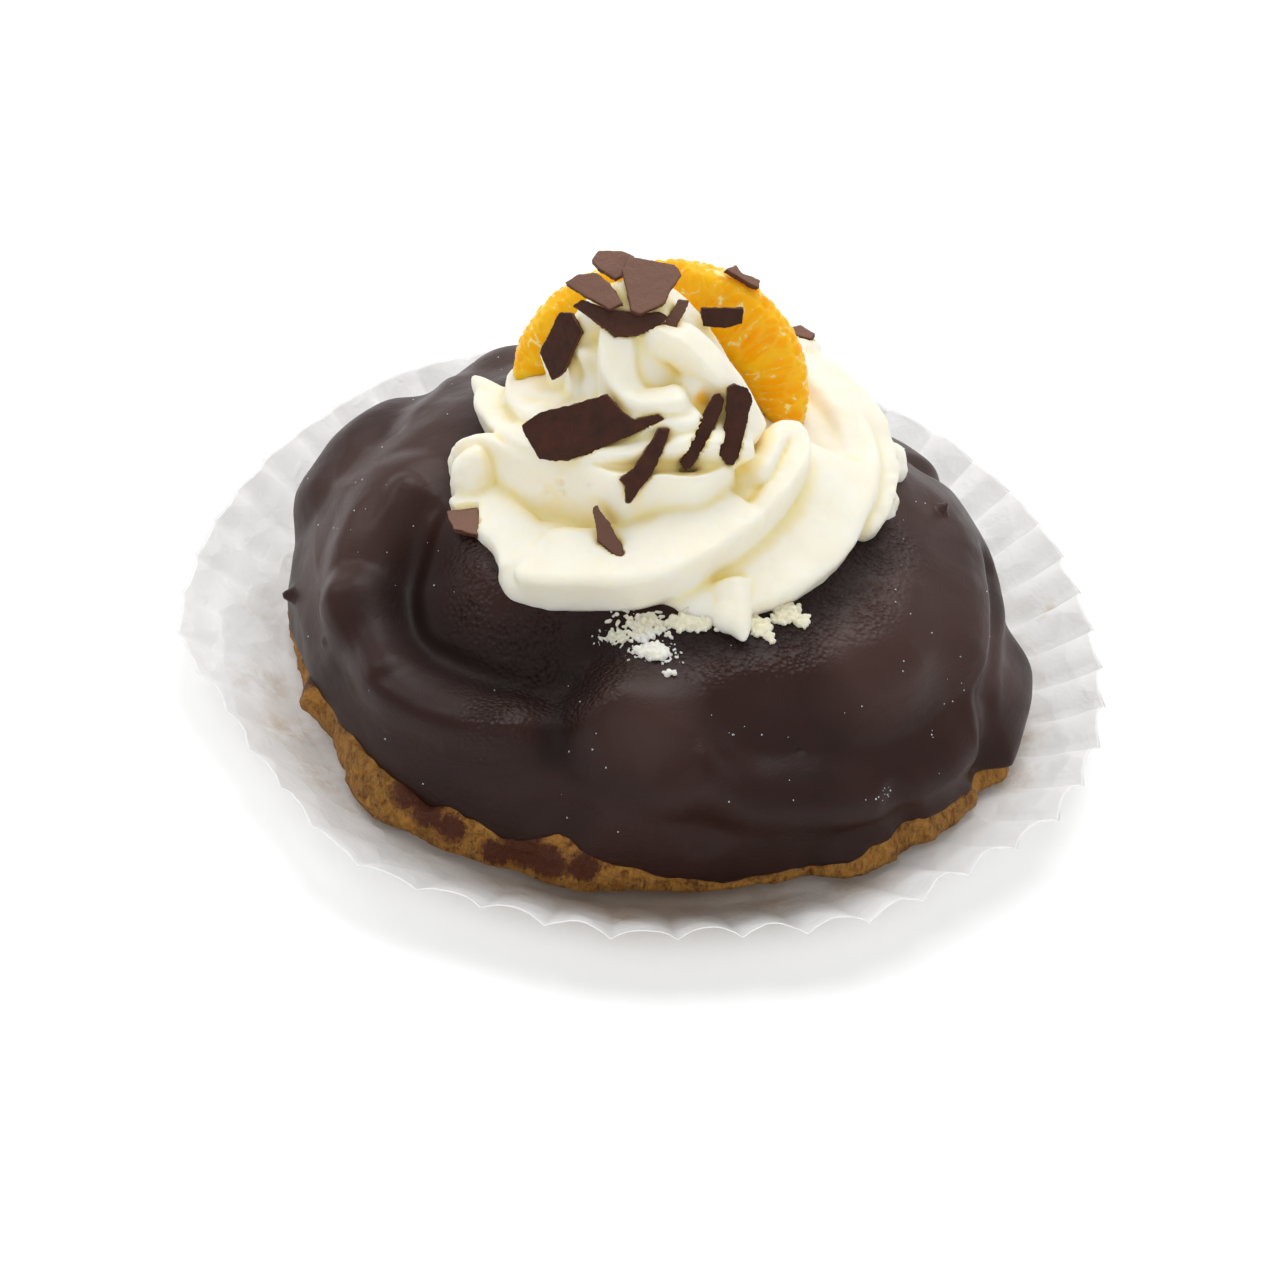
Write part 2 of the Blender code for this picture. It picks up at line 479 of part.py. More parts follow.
def glazed_point(azimuth, rise, depth):
    """Points at a depth under the glazed surface, for arrays of azimuth and rise."""
    base = dome_base(azimuth, rise)
    out = dome_normals(azimuth, rise)
    return base + out * (relief(base) - depth)[:, None]


def rise_at(height):
    """The rise at which the plain dome has a height."""
    share = np.clip((height - DOME_FOOT) / DOME_HEIGHT, 0, 1)
    return np.degrees(np.arcsin(share ** (1 / DOME_FULLNESS))) / 90


def edge_rise(azimuth):
    """The rise of the glaze's wavy lower edge."""
    height = ring_value(GLAZE_EDGE, azimuth)
    around = np.radians(azimuth)
    spots = np.stack([np.cos(around), np.sin(around), 0 * around], axis=-1) * BUN_RADII[0]
    return rise_at(height + EDGE_WAVE * noise_at(spots, EDGE_WAVE_SIZE, 3.0))


def azimuths():
    return np.arange(DOME_COLUMNS) * 360 / DOME_COLUMNS


def pole(depth):
    """The top point of the dome, at a depth under the glazed surface."""
    return glazed_point(np.array([0.0]), np.array([1.0]), depth)[0] * np.array([0, 0, 1])


def glaze_shell(name):
    """Outer and inner surface of the glaze, joined by a rounded lip along its lower edge."""
    around = azimuths()
    edge = edge_rise(around)
    outer = []
    for share in GLAZE_RISES[1:]:
        outer.append(glazed_point(around, edge + (1 - edge) * share, 0.0))
    inner = []
    for share in UNDER_RISES:
        inner.append(glazed_point(around, edge + (1 - edge) * share, GLAZE_THICKNESS))
    lip = [
        glazed_point(around, edge + LIP_OUTER_RISE, LIP_OUTER_DEPTH),
        glazed_point(around, edge, GLAZE_LIP),
        glazed_point(around, edge + LIP_INNER_RISE, GLAZE_THICKNESS),
    ]
    rings = inner + lip[::-1] + outer[::-1]
    count = len(around)
    points = [p for ring in rings for p in ring]
    points += [pole(GLAZE_THICKNESS), pole(0.0)]
    inner_top = len(points) - 2
    outer_top = inner_top + 1
    faces = fan(0, inner_top, count, flip=True)
    for i in range(len(rings) - 1):
        faces += bridge(i * count, (i + 1) * count, count, downwards=i < len(inner))
    faces += fan((len(rings) - 1) * count, outer_top, count)
    return mesh_of(name, points, faces)


def crust_offset(azimuth, rise):
    """How far the bare crust stands out of its plain surface: flaps and crags below the glaze."""
    base = dome_base(azimuth, rise)
    bare = np.clip((edge_rise(azimuth) - rise) / BARE_FADE, 0, 1)
    height = CRAG_DEPTH * noise_at(base, CRAG_SIZE, 7.0)
    for flap_azimuth, flap_rise, reach, depth in CRUST_FLAPS:
        middle = dome_base(np.array([flap_azimuth]), np.array([flap_rise]))[0]
        height += depth * falloff(np.linalg.norm(base - middle, axis=1), reach)
    return height * bare


def bun_body(name):
    around = azimuths()
    edge = edge_rise(around)
    depth = GLAZE_THICKNESS + GAP
    rings = []
    direction = np.stack([np.cos(np.radians(around)), np.sin(np.radians(around)), 0 * around], axis=-1)
    foot = ring_value(BUN_RADII, around)
    for inset, height in ((BUN_BOTTOM_INSET, BUN_BOTTOM), (HEEL_INSET, BUN_BOTTOM + HEEL_HEIGHT)):
        ring = direction * (foot - inset)[:, None]
        ring[:, 2] = height
        rings.append(ring)
    for share in CRUST_SHARES:
        rise = edge * share
        base = dome_base(around, rise)
        out = dome_normals(around, rise)
        covered = FOOT_DEPTH_SHARE + (1 - FOOT_DEPTH_SHARE) * share
        stand = relief(base) - depth * covered + crust_offset(around, rise)
        rings.append(base + out * stand[:, None])
    rings.append(glazed_point(around, edge + LIP_INNER_RISE, depth))
    for share in UNDER_RISES[::-1]:
        rings.append(glazed_point(around, edge + (1 - edge) * share, depth))
    return closed_body(name, rings, np.array([0, 0, BUN_BOTTOM]), pole(depth))


def dome_cutter(name):
    """The glazed dome grown by the gap, down into the bun, to cut what rests on it."""
    around = azimuths()
    edge = edge_rise(around)
    rings = [glazed_point(around, edge + (1 - edge) * share, -GAP) for share in GLAZE_RISES[-1:0:-1]]
    return closed_body(name, rings, np.array([0, 0, DOME_FOOT]), pole(-GAP))


def case_point(share, azimuth, fold, rim):
    """A point of the case's wall, with fold 1 on an outer pleat edge and -1 on an inner one."""
    slope = math.atan2(CASE_RIM_HEIGHT, rim - CASE_FLOOR_RADIUS) * min(1, share / CASE_BEND_SHARE)
    depth = ring_value(CASE_PLEAT_DEPTHS, azimuth) * share * fold
    radius = CASE_FLOOR_RADIUS + (rim - CASE_FLOOR_RADIUS) * share + depth * math.sin(slope)
    height = CASE_RIM_HEIGHT * share**CASE_WALL_CURVE - depth * math.cos(slope)
    around = math.radians(azimuth)
    return radius * math.cos(around), radius * math.sin(around), height


def paper_case(name):
    columns = 2 * CASE_PLEATS
    rings = []
    for lift in (0.0, CASE_PAPER):
        side = []
        for share in CASE_WALL_STEPS:
            ring = []
            for j in range(columns):
                azimuth = j * 360 / columns
                fold = 1 if j % 2 == 0 else -1
                wave = noise.noise(Vector((j * CASE_WAVE_STEP, CASE_WAVE_SEED, 0.0)))
                rim = ring_value(CASE_RIM, azimuth) + CASE_RIM_UNEVENNESS * wave + CASE_TIP_REACH * fold
                x, y, z = case_point(share, azimuth, fold, rim)
                ring.append((x, y, max(z, 0.0) + lift))
            side.append(ring)
        rings.append(side)
    under, inside = rings
    order = under + inside[::-1]
    return closed_body(name, order, np.array([0, 0, 0.0]), np.array([0, 0, CASE_PAPER]))


def arm_frames(path):
    """Unit vectors along, across and up from a path, with across mostly pointing away from the peak."""
    along = unit(np.gradient(path, axis=0))
    across = unit(np.cross(along, np.array([0, 0, 1.0])))
    if (across * (path - np.array([PEAK_X, PEAK_Y, 0]))).sum() < 0:
        across = -across
    up = np.cross(along, across)
    up *= np.where(up[:, 2:3] < 0, -1, 1)
    return along, across, up


def squared(values):
    """Pulls a round section towards a box."""
    return np.sign(values) * np.abs(values) ** SQUARENESS


def tube(name, path, half_width, half_height, tilt, pinch):
    """A rounded-end tube along a path, with a pinched crest on its outer upper corner."""
    along, across, up = arm_frames(path)
    count = len(path)
    share = np.linspace(0, 1, count)
    near_end = np.clip(np.minimum(share, 1 - share) / END_SHARE, 0, 1)
    taper = np.sqrt(near_end * (2 - near_end))
    lean = math.radians(tilt)
    angles = np.arange(ARM_SIDES) * 2 * math.pi / ARM_SIDES
    away = np.abs((angles - CREST_ANGLE + math.pi) % (2 * math.pi) - math.pi)
    reach = 1 + pinch * np.exp(-((away / CREST_SPREAD) ** 2))
    u = half_width * reach * squared(np.cos(angles))
    v = half_height * reach * squared(np.sin(angles))
    u, v = u * math.cos(lean) + v * math.sin(lean), v * math.cos(lean) - u * math.sin(lean)
    rings = []
    for i in range(1, count - 1):
        rings.append(path[i] + taper[i] * (u[:, None] * across[i] + v[:, None] * up[i]))
    mesh = closed_body(name, rings, path[0], path[-1])
    turn_outwards(mesh)
    return mesh


def turn_outwards(mesh):
    shape = bmesh.new()
    shape.from_mesh(mesh)
    bmesh.ops.recalc_face_normals(shape, faces=shape.faces)
    shape.to_mesh(mesh)
    shape.free()


def polar(points):
    """Points from (azimuth, radius, height)."""
    around = np.radians(points[:, 0])
    return np.stack([points[:, 1] * np.cos(around), points[:, 1] * np.sin(around), points[:, 2]], axis=-1)


def cream_core(name):
    rings = []
    angles = np.arange(CORE_SIDES) * 2 * math.pi / CORE_SIDES
    for radius, height in CREAM_CORE:
        share = max(0.0, (height - PEAK_BEND_START) / (CREAM_CORE[-1][1] - PEAK_BEND_START))
        ring = np.stack([radius * np.cos(angles), radius * np.sin(angles), 0 * angles + height], axis=-1)
        rings.append(ring + share * np.array([PEAK_X, PEAK_Y, 0]))
    low = np.array([0, 0, CREAM_CORE[0][1]])
    high = np.array([PEAK_X, PEAK_Y, CREAM_CORE[-1][1] + CORE_TIP])
    return closed_body(name, rings, low, high)


def cream_pieces():
    """Closed meshes that overlap to make the whirl."""
    meshes = [cream_core("core")]
    for name, half_width, half_height, tilt, pinch, points in ARMS:
        knots = np.asarray(points, float)
        path = polar(smooth_path(knots, POINTS_PER_KNOT * len(knots)))
        meshes.append(tube(name, path, half_width, half_height, tilt, pinch))
    for name, half_width, half_height, tilt, pinch, points in RIDGES:
        path = smooth_path(points, POINTS_PER_KNOT * len(points))
        meshes.append(tube(name, path, half_width, half_height, tilt, pinch))
    for start, end, radius in FLICKS:
        meshes.append(flick("flick", np.array(start), np.array(end), radius))
    for middle, sizes in LUMPS:
        meshes.append(lump("lump", np.array(middle), np.array(sizes)))
    return meshes


def flick(name, start, end, radius):
    """A short pointed cone."""
    along = unit(end - start)
    across = unit(np.cross(along, np.array([0, 0, 1.0])))
    up = np.cross(across, along)
    angles = np.arange(FLICK_SIDES) * 2 * math.pi / FLICK_SIDES
    rings = []
    for share in FLICK_SHARES:
        width = radius * (1 - share) ** FLICK_FULLNESS
        ring = start + share * (end - start) + width * (
            np.cos(angles)[:, None] * across + np.sin(angles)[:, None] * up)
        rings.append(ring)
    mesh = closed_body(name, rings, start - along * radius / 2, end)
    turn_outwards(mesh)
    return mesh


def lump(name, middle, sizes):
    """A smooth ellipsoid."""
    shape = bmesh.new()
    bmesh.ops.create_icosphere(shape, subdivisions=3, radius=1.0)
    for vert in shape.verts:
        vert.co = Vector(middle + np.array(vert.co) * sizes)
    mesh = bpy.data.meshes.new(name)
    shape.to_mesh(mesh)
    shape.free()
    return mesh


def joined(name, meshes):
    """One mesh that holds all the given ones."""
    shape = bmesh.new()
    for mesh in meshes:
        shape.from_mesh(mesh)
    whole = bpy.data.meshes.new(name)
    shape.to_mesh(whole)
    shape.free()
    for mesh in meshes:
        bpy.data.meshes.remove(mesh)
    return whole


def keep_largest(mesh):
    """Removes loose scraps, so that one closed body is left."""
    shape = bmesh.new()
    shape.from_mesh(mesh)
    left = set(shape.verts)
    groups = []
    while left:
        group = {left.pop()}
        edge = list(group)
        while edge:
            for link in edge.pop().link_edges:
                for vert in link.verts:
                    if vert in left:
                        left.remove(vert)
                        group.add(vert)
                        edge.append(vert)
        groups.append(group)
    groups.sort(key=len)
    for group in groups[:-1]:
        bmesh.ops.delete(shape, geom=list(group), context="VERTS")
    shape.to_mesh(mesh)
    shape.free()


def whipped_cream(surface, cutters):
    """The whirl as one body, cut clear of the glaze, the fruit and the shards."""
    obj = helper("cream_form", joined("cream_form", cream_pieces()))
    remesh = obj.modifiers.new("one skin", "REMESH")
    remesh.mode = "VOXEL"
    remesh.voxel_size = CREAM_GRAIN
    soften = obj.modifiers.new("soften", "SMOOTH")
    soften.factor = 0.5
    soften.iterations = 2
    thin = obj.modifiers.new("thin out", "DECIMATE")
    full = len(evaluated_mesh(obj).polygons) * 2
    thin.ratio = CREAM_TRIANGLES / full
    body = evaluated_mesh(obj)
    bpy.data.objects.remove(obj, do_unlink=True)
    cream = add_object("whipped_cream", body, surface)
    for cutter in cutters:
        cut = cream.modifiers.new("clear " + cutter.name, "BOOLEAN")
        cut.operation = "DIFFERENCE"
        cut.object = cutter
    final = evaluated_mesh(cream)
    cream.modifiers.clear()
    cream.data = final
    keep_largest(final)
    smooth_shade(cream, SOFT_ANGLE)
    return cream


def mandarin_mesh(name, grow=0.0):
    """A crescent: a round-backed wedge swept along an arc, pointed at both ends."""
    middle, radius, (first, last), lean, thickness, breadth = MANDARINS[name]
    tilt = math.radians(lean)
    upward = np.array([0, math.sin(tilt), math.cos(tilt)])
    level = np.array([1.0, 0, 0])
    side = np.cross(level, upward)
    angles = np.arange(MANDARIN_SIDES) * 2 * math.pi / MANDARIN_SIDES
    rings = []
    for i in range(1, MANDARIN_STEPS):
        share = i / MANDARIN_STEPS
        fullness = math.sin(math.pi * share) ** END_ROUNDNESS
        along = math.radians(first + (last - first) * share)
        out = level * math.cos(along) + upward * math.sin(along)
        half = breadth / 2 * fullness
        inset = END_BREADTH + (1 - END_BREADTH) * fullness
        centre = np.array(middle) + out * (radius - breadth / 2 * inset)
        back = np.cos(angles)
        width = (thickness / 2 * fullness) * np.sin(angles) * (1 - BACK_FULLNESS + BACK_FULLNESS * back)
        rings.append(centre + ((half + grow) * back)[:, None] * out + (
            width + grow * np.sin(angles))[:, None] * side)
    ends = []
    for angle in (first, last):
        along = math.radians(angle)
        out = level * math.cos(along) + upward * math.sin(along)
        ends.append(np.array(middle) + out * (radius - breadth / 2 * END_BREADTH))
    mesh = closed_body(name, rings, ends[0], ends[1])
    turn_outwards(mesh)
    return mesh


def grown_outline(corners, grow):
    """The corners of a flat outline, moved so that its edges lie further out."""
    edges = unit(np.roll(corners, -1, axis=0) - corners)
    following = np.roll(corners, -1, axis=0)
    area = (corners[:, 0] * following[:, 1] - corners[:, 1] * following[:, 0]).sum()
    after = np.stack([edges[:, 1], -edges[:, 0]], axis=-1) * np.sign(area)
    both = after + np.roll(after, 1, axis=0)
    sharpness = np.maximum((both**2).sum(axis=1, keepdims=True) / 2, MITRE_LIMIT)
    return corners + grow * both / sharpness


def shard_mesh(name, grow=0.0):
    """A flat broken plate with its outline in its own plane."""
    place, facing, thickness, outline = SHARDS[name]
    normal = unit(np.array(facing, float))
    level = unit(np.array([-normal[1], normal[0], 0]))
    slope = np.cross(normal, level)
    corners = grown_outline(np.array(outline), grow)
    flat = np.array(place) + np.outer(corners[:, 0], level) + np.outer(corners[:, 1], slope)
    half = thickness / 2 + grow
    lower = flat - normal * half
    upper = flat + normal * half
    count = len(corners)
    points = list(lower) + list(upper)
    faces = [tuple(range(count)), tuple(range(2 * count - 1, count - 1, -1))]
    faces += bridge(0, count, count)
    mesh = mesh_of(name, points, faces)
    turn_outwards(mesh)
    return mesh


def build():
    clear_scene()
    paper = material("paper", PAPER_COLOUR, PAPER_ROUGHNESS)
    crust = material("choux crust", CRUST_COLOUR, CRUST_ROUGHNESS)
    glaze = material("chocolate glaze", GLAZE_COLOUR, GLAZE_ROUGHNESS)
    cream = material("whipped cream", CREAM_COLOUR, CREAM_ROUGHNESS, SOFT_SUBSURFACE)
    fruit = material("mandarin", MANDARIN_COLOUR, MANDARIN_ROUGHNESS, SOFT_SUBSURFACE)
    chocolate = material("shard chocolate", SHARD_COLOUR, SHARD_ROUGHNESS)

    case = add_object("paper_case", paper_case("paper_case"), paper)
    turn_outwards(case.data)
    smooth_shade(case, CREASE_ANGLE)
    bun = add_object("choux_bun", bun_body("choux_bun"), crust)
    turn_outwards(bun.data)
    smooth_shade(bun, CRUST_ANGLE)
    shell = add_object("chocolate_glaze", glaze_shell("chocolate_glaze"), glaze)
    turn_outwards(shell.data)
    smooth_shade(shell, SOFT_ANGLE)

    cutters = [helper("clear_of_glaze", dome_cutter("clear_of_glaze"))]
    for name in MANDARINS:
        piece = add_object(name, mandarin_mesh(name), fruit)
        smooth_shade(piece, SOFT_ANGLE)
        cutters.append(helper("clear_of_" + name, mandarin_mesh(name, TOPPING_CLEARANCE)))
    for name in SHARDS:
        add_object(name, shard_mesh(name), chocolate)
        cutters.append(helper("clear_of_" + name, shard_mesh(name, TOPPING_CLEARANCE)))
    for cutter in cutters:
        turn_outwards(cutter.data)
    whipped_cream(cream, cutters)
    for cutter in cutters:
        bpy.data.objects.remove(cutter, do_unlink=True)


build()
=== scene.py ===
"""The looks of a bossche bol in its pleated paper case: choux crust, poured chocolate glaze, a piped
whirl of whipped cream, two mandarin segments, broken chocolate and crumbs of cream.

Millimetres, +Z up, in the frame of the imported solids. Metres are only in what is handed to Blender.
An azimuth is in degrees from +X, and a rise goes from 0 at the dome's foot to 1 at its top.
"""

import math

import bmesh
import bpy
import numpy as np
from mathutils import Matrix, Vector, noise
from mathutils.bvhtree import BVHTree


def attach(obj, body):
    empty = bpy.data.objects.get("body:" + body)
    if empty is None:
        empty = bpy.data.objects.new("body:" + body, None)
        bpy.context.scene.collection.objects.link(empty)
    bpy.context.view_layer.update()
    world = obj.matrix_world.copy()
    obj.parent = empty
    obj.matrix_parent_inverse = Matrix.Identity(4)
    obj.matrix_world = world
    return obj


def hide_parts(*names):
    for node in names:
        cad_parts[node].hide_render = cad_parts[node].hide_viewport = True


# A millimetre in metres
MM = 0.001
UP = np.array([0.0, 0.0, 1.0])

# Camera, with its shift in pixels of the square picture
PICTURE_SIDE = 1280
CAMERA_ELEVATION = math.radians(40)
CAMERA_ROLL = math.radians(6.9)
CAMERA_DISTANCE = 500
CAMERA_LENS = 85
CAMERA_SENSOR = 36
CAMERA_SHIFT = (-5.3, 10.6)

# Strength of the sky's light, and the height at which it is that of the top
SKY_HORIZON = 0.76
SKY_TOP = 0.56
SKY_TOP_HEIGHT = 0.7
# Round lights: place, diameter and watts
LIGHTS = {
    "key": ((80, 540, 840), 800, 5.0),
    "fill": ((-600, 300, 750), 500, 1.4),
    "front": ((100, -800, 500), 1200, 1.5),
}
FLOOR_SIDE = 6000
FLOOR_GLOW = 0.14

# Paper case: radii of its rim and depths of its pleats, evenly spaced around from +X
CASE_RIM = (
    74, 73.4, 74.4, 75, 75.4, 74.4, 74.2, 74.6, 76.2, 75.2, 74, 73.8, 74.8, 76.2, 72.8, 73.6, 76.5, 74.2,
    74.5, 73.4, 75.1, 73.7, 75.8, 75.4,
)
CASE_PLEAT_DEPTHS = (1.2, 1.4, 1.4, 1.3, 1.1, 0.6, 0.3, 0.2, 0.3, 0.6, 0.7, 1)
CASE_PLEATS = 48
PLEAT_SHARPNESS = 0.8
PLEAT_GROWTH = 0.8
CASE_FLOOR_RADIUS = 59
CASE_FLOOR_RINGS = (0.5, 0.9)
CASE_RIM_HEIGHT = 8.8
CASE_WALL_CURVE = 1.4
CASE_SHEET = 0.18
CASE_LIFT = 0.1
CASE_COLUMNS_PER_FOLD = 4
CASE_ROWS = 34
# How uneven the pleats are at the rim, how far their edges stand out, and where in the noise they lie
RIM_UNEVEN = 0.6
RIM_FLARE = 0.3
PLEAT_NOISE_STEP = 0.61
PLEAT_NOISE_ROW = 4.2
# Layers of noise, here and below: height, size and offset
CASE_CRUMPLE = ((0.5, 9, 0), (0.25, 3.5, 0))
# Grease stains, and painted shade along the front of the bun's foot: azimuth, radius, reach and strength
GREASE_AND_SHADE = (
    (-176, 64, 6, 0.35), (-160, 64, 8, 0.55), (-149, 63, 7, 0.8), (-139, 63, 6, 0.8), (-130, 61, 6, 0.6),
    (-118, 64, 5, 0.3), (-22, 64, 8, 0.6), (-12, 63, 7, 0.5), (-52, 63, 6, 0.35), (-88, 66, 5, 0.4),
    (15, 69.5, 1.6, 0.8), (13, 67.2, 1.2, 0.7), (-104, 62, 6, 0.6), (-92, 61, 6, 0.8), (-80, 61, 6, 0.8),
    (-68, 61, 6, 0.8), (-57, 63, 6, 0.6), (-87.9, 65.1, 1.3, 1.4), (-87.9, 65.4, 3, 0.4),
)
# Painted shade on the paper under the bun's foot at the front: the radii where it fades, its middle and
# its reach
FOOT_SHADE_RADII = (60, 72)
FOOT_SHADE_AZIMUTH = -84
FOOT_SHADE_REACH = 52
FOOT_SHADE_STRENGTH = 0.93

# Dome: radii evenly spaced around from +X
BUN_RADII = (57.5, 54, 52.5, 51.6, 52.4, 56.2, 58.8, 58.2, 60, 60, 59, 60)
DOME_FOOT = 3
DOME_HEIGHT = 36.2
DOME_ROUNDNESS = 0.88
DOME_FULLNESS = 0.52
DOME_LUMPS = ((0.9, 17, 0),)
DOME_COLUMNS = 540
# The highest ring's rise, and the steps from which the dome's normals are worked out
DOME_TOP = 0.985
AZIMUTH_STEP = 0.5
RISE_STEP = 0.004
RISE_MARGIN = 0.01

# Glaze: heights of its lower edge, evenly spaced around from +X
GLAZE_EDGE = (
    7, 7.5, 7, 8, 6, 8.5, 7, 9.5, 8, 6.5, 8, 6.5, 5.5, 6.2, 10.2, 9.6, 9.4, 9.4, 9.4, 5.2, 5.6, 8, 7.4, 6,
)
EDGE_RIPPLES = ((0.8, 6, 3), (0.45, 1.7, 5))
# Drips and gaps in that edge: azimuth, reach in degrees and height
EDGE_DRIPS = ((-120, 3, -0.8), (-116, 3, 1), (-107, 3, -1), (-99, 5, 2.6), (-84, 4, -0.8))
GLAZE_THICKNESS = 0.9
GLAZE_ROWS = 112
GLAZE_ROWS_UNDER_CREAM = 10
GLAZE_ROWS_INSIDE = 30
# First row above the edge, and how much closer together the low rows are
FIRST_ROW = 0.004
ROW_SPREAD = 1.15
FIRST_ROW_INSIDE = 0.01
CREAM_FOOT_RISE = 0.72
# How far the lip hangs below the edge, as a rise and as a share of the edge's rise, and its rings
LIP_DROP = 0.0065
LIP_SHARE = 0.35
LIP_TURNS = (160, 125, 90, 60, 25)
# Where the glaze ran and set: broad marks, and marks squeezed in height
FLOW_MARKS = ((0.24, 7.5, 21),)
FLOW_STREAKS = ((0.05, 3.2, 33),)
FLOW_SQUEEZE = np.array([1, 1, 2])
# Forms in the glazed dome: reach, depth (outwards is positive), and a path of (azimuth, rise)
RELIEF = (
    (12, -5, ((-148, 0.46), (-139, 0.42), (-126, 0.41), (-114, 0.45), (-106, 0.49))),
    (4.2, 1.5, ((-167, 0.54), (-161, 0.49), (-156, 0.42), (-147, 0.335), (-139, 0.28), (-134, 0.275))),
    (4, -1.3, ((-160, 0.57), (-151, 0.465), (-142, 0.385), (-135, 0.34), (-126, 0.375), (-112, 0.42))),
    (7.5, 3.4, ((-149, 0.28), (-141, 0.225), (-130, 0.205), (-118, 0.235), (-109, 0.28))),
    (8.5, -2.8, ((-104, 0.4), (-103, 0.3), (-101, 0.2), (-100, 0.1))),
    (11, 2.6, ((-95, 0.38), (-88, 0.35), (-84, 0.27))),
    (6, -1.6, ((-84, 0.25), (-80, 0.17), (-78, 0.08))),
    (7.5, 2.6, ((-80, 0.2), (-73, 0.165), (-63, 0.13), (-53, 0.09), (-41, 0.07), (-28, 0.075))),
    (12, -3.2, ((-68, 0.3), (-56, 0.24), (-43, 0.19), (-32, 0.18))),
    (4, -1.2, ((-48, 0.07), (-44, 0))),
    (8.5, -1.8, ((-158, 0.46), (-152, 0.38), (-146, 0.31), (-141, 0.23))),
    (8.5, 1.4, ((-172, 0.52), (-160, 0.38), (-150, 0.26))),
    (8, -1, ((176, 0.36), (-166, 0.24), (-153, 0.14))),
    (12, -1.2, ((-20, 0.66), (-70, 0.6), (-120, 0.6), (-160, 0.62))),
    (5, -2.2, ((-27, 0), (-24, 0.1), (-12, 0.19), (4, 0.22))),
    (9.5, 5, ((-24, 0), (-16, 0.012), (-5, 0.015))),
    (8.5, 3.2, ((-54, 0), (-45, 0), (-33, 0))),
    (10, 3, ((150, 0.16), (163, 0.2), (174, 0.15))),
    (6, -1.2, ((140, 0.05), (148, 0.3), (165, 0.38))),
    (9, -2.6, ((58, 0.46), (78, 0.36), (96, 0.28), (104, 0.12))),
    (12, 3, ((112, 0.22), (126, 0.24))),
    (9, 2.2, ((36, 0.15), (56, 0.11), (82, 0.1))),
    (6, -1.6, ((30, 0.32), (26, 0.14), (24, 0.02))),
)
# Small bumps and pits: azimuth, rise, reach and depth
NUBS = (
    (8, 0.44, 1.4, 1.6), (-167, 0.06, 1.8, 2), (71, 0.52, 1.4, 1.2), (-62, 0.255, 1.1, -0.4),
    (-150, 0.12, 1.4, 0.5),
)
# Rougher, finely grained patches: azimuth, rise and reach
GRAIN_PATCHES = (
    (-118, 0.52, 15.6), (-108, 0.48, 12), (-128, 0.58, 12), (-98, 0.55, 9.6), (-140, 0.62, 8.4),
    (-76, 0.58, 10.8), (-60, 0.58, 12), (-38, 0.6, 12), (-18, 0.62, 10.8), (-112, 0.26, 7.2),
    (-100, 0.44, 8.4), (60, 0.62, 12), (130, 0.62, 12),
)
GRAIN_STRENGTH = 1.1
# Paler patches, a dull bloom and painted sheen where the glaze catches light: azimuth, rise and reach
BLOOM_AND_SHEEN_PATCHES = (
    (-172, 0.4, 22), (170, 0.5, 20), (-158, 0.22, 16), (-34, 0.52, 18), (-20, 0.34, 20), (-44, 0.4, 14),
    (8, 0.5, 18), (-88, 0.36, 11), (40, 0.4, 22), (90, 0.4, 24), (130, 0.4, 22), (-12, 0.1, 10),
)
# Painted shade: darker, duller paths in the moat, near the cream's foot and in a groove: reach and a path
# of (azimuth, rise)
PAINTED_SHADE_PATHS = (
    (12, ((-146, 0.43), (-137, 0.38), (-126, 0.39), (-114, 0.44), (-106, 0.48))),
    (7, ((-104, 0.58), (-88, 0.6), (-70, 0.6), (-50, 0.61), (-30, 0.63), (-10, 0.66))),
    (4.5, ((-104, 0.42), (-103, 0.3), (-102, 0.24))),
)

# Bun: inset and height of the rings of its foot, and share of the way up and depth of those inside
BUN_BOTTOM = 0.6
BUN_FOOT = ((12, BUN_BOTTOM), (4.5, BUN_BOTTOM), (3.2, 0.9), (2.2, 1.5))
FOOT_CRAGS = 0.4
BUN_INSIDE = ((0.04, 1.6), (0.12, 4), (0.3, 7), (0.55, 8))
BUN_INSIDE_TOP = 0.98
# Bare crust, up to a share of the edge's rise: its crags fade between two shares, and it lies under
# the glaze's surface by shares of the glaze's thickness at the foot and at the edge
CRUST_ROWS = 24
CRUST_TOP = 1.12
CRAGS_FADE = (0.9, 1.1)
CRUST_DEPTHS = (0.75, 1.0)
# Flaps of crust: azimuth, rise, reach and depth
CRUST_FLAPS = (
    (-149, 0.012, 5, 3), (-133, 0, 12, 2), (-124, 0, 14, 2.6), (-112, 0, 12, 1.8), (-97, 0, 10, 1.8),
    (97, 0.01, 6, 2.2),
)
# Crags: size, depth and offset, and how round and how sharp they are
CRAGS = ((4.5, 0.5, 7), (2, 0.3, 11), (0.9, 0.14, 17))
CRAG_ROUND = 0.5
CRAG_SHARP = 0.7
# Chocolate that ran over the crust: azimuth, rise and reach
SMEARS = (
    (-119, 0.014, 5.4), (-115, 0.01, 4.5), (-123, 0.018, 4.5), (-151, 0.018, 4.5), (-104, 0.012, 6.3),
    (-100, 0.008, 5.4), (-108, 0.004, 3.9), (-95, 0.01, 4.5), (-31, 0.018, 4.5), (-20, 0.02, 4.5),
    (60, 0.012, 9), (150, 0.01, 9),
)

# Whipped cream: how fine its skin is, and radius and height of its core's rings
CREAM_GRAIN = 0.45
CREAM_CORE = (
    (28.5, 31), (28.5, 36), (23.5, 39.5), (17.8, 43), (14.5, 47), (12.8, 52), (10, 56.8), (6.8, 62),
    (4.9, 65.5), (3.8, 68.2), (2.4, 70), (0.8, 70.8),
)
CORE_SIDES = 64
PEAK = np.array([-9.0, 0.8, 0.0])
PEAK_BEND_START = 40
PEAK_TIP = 0.6
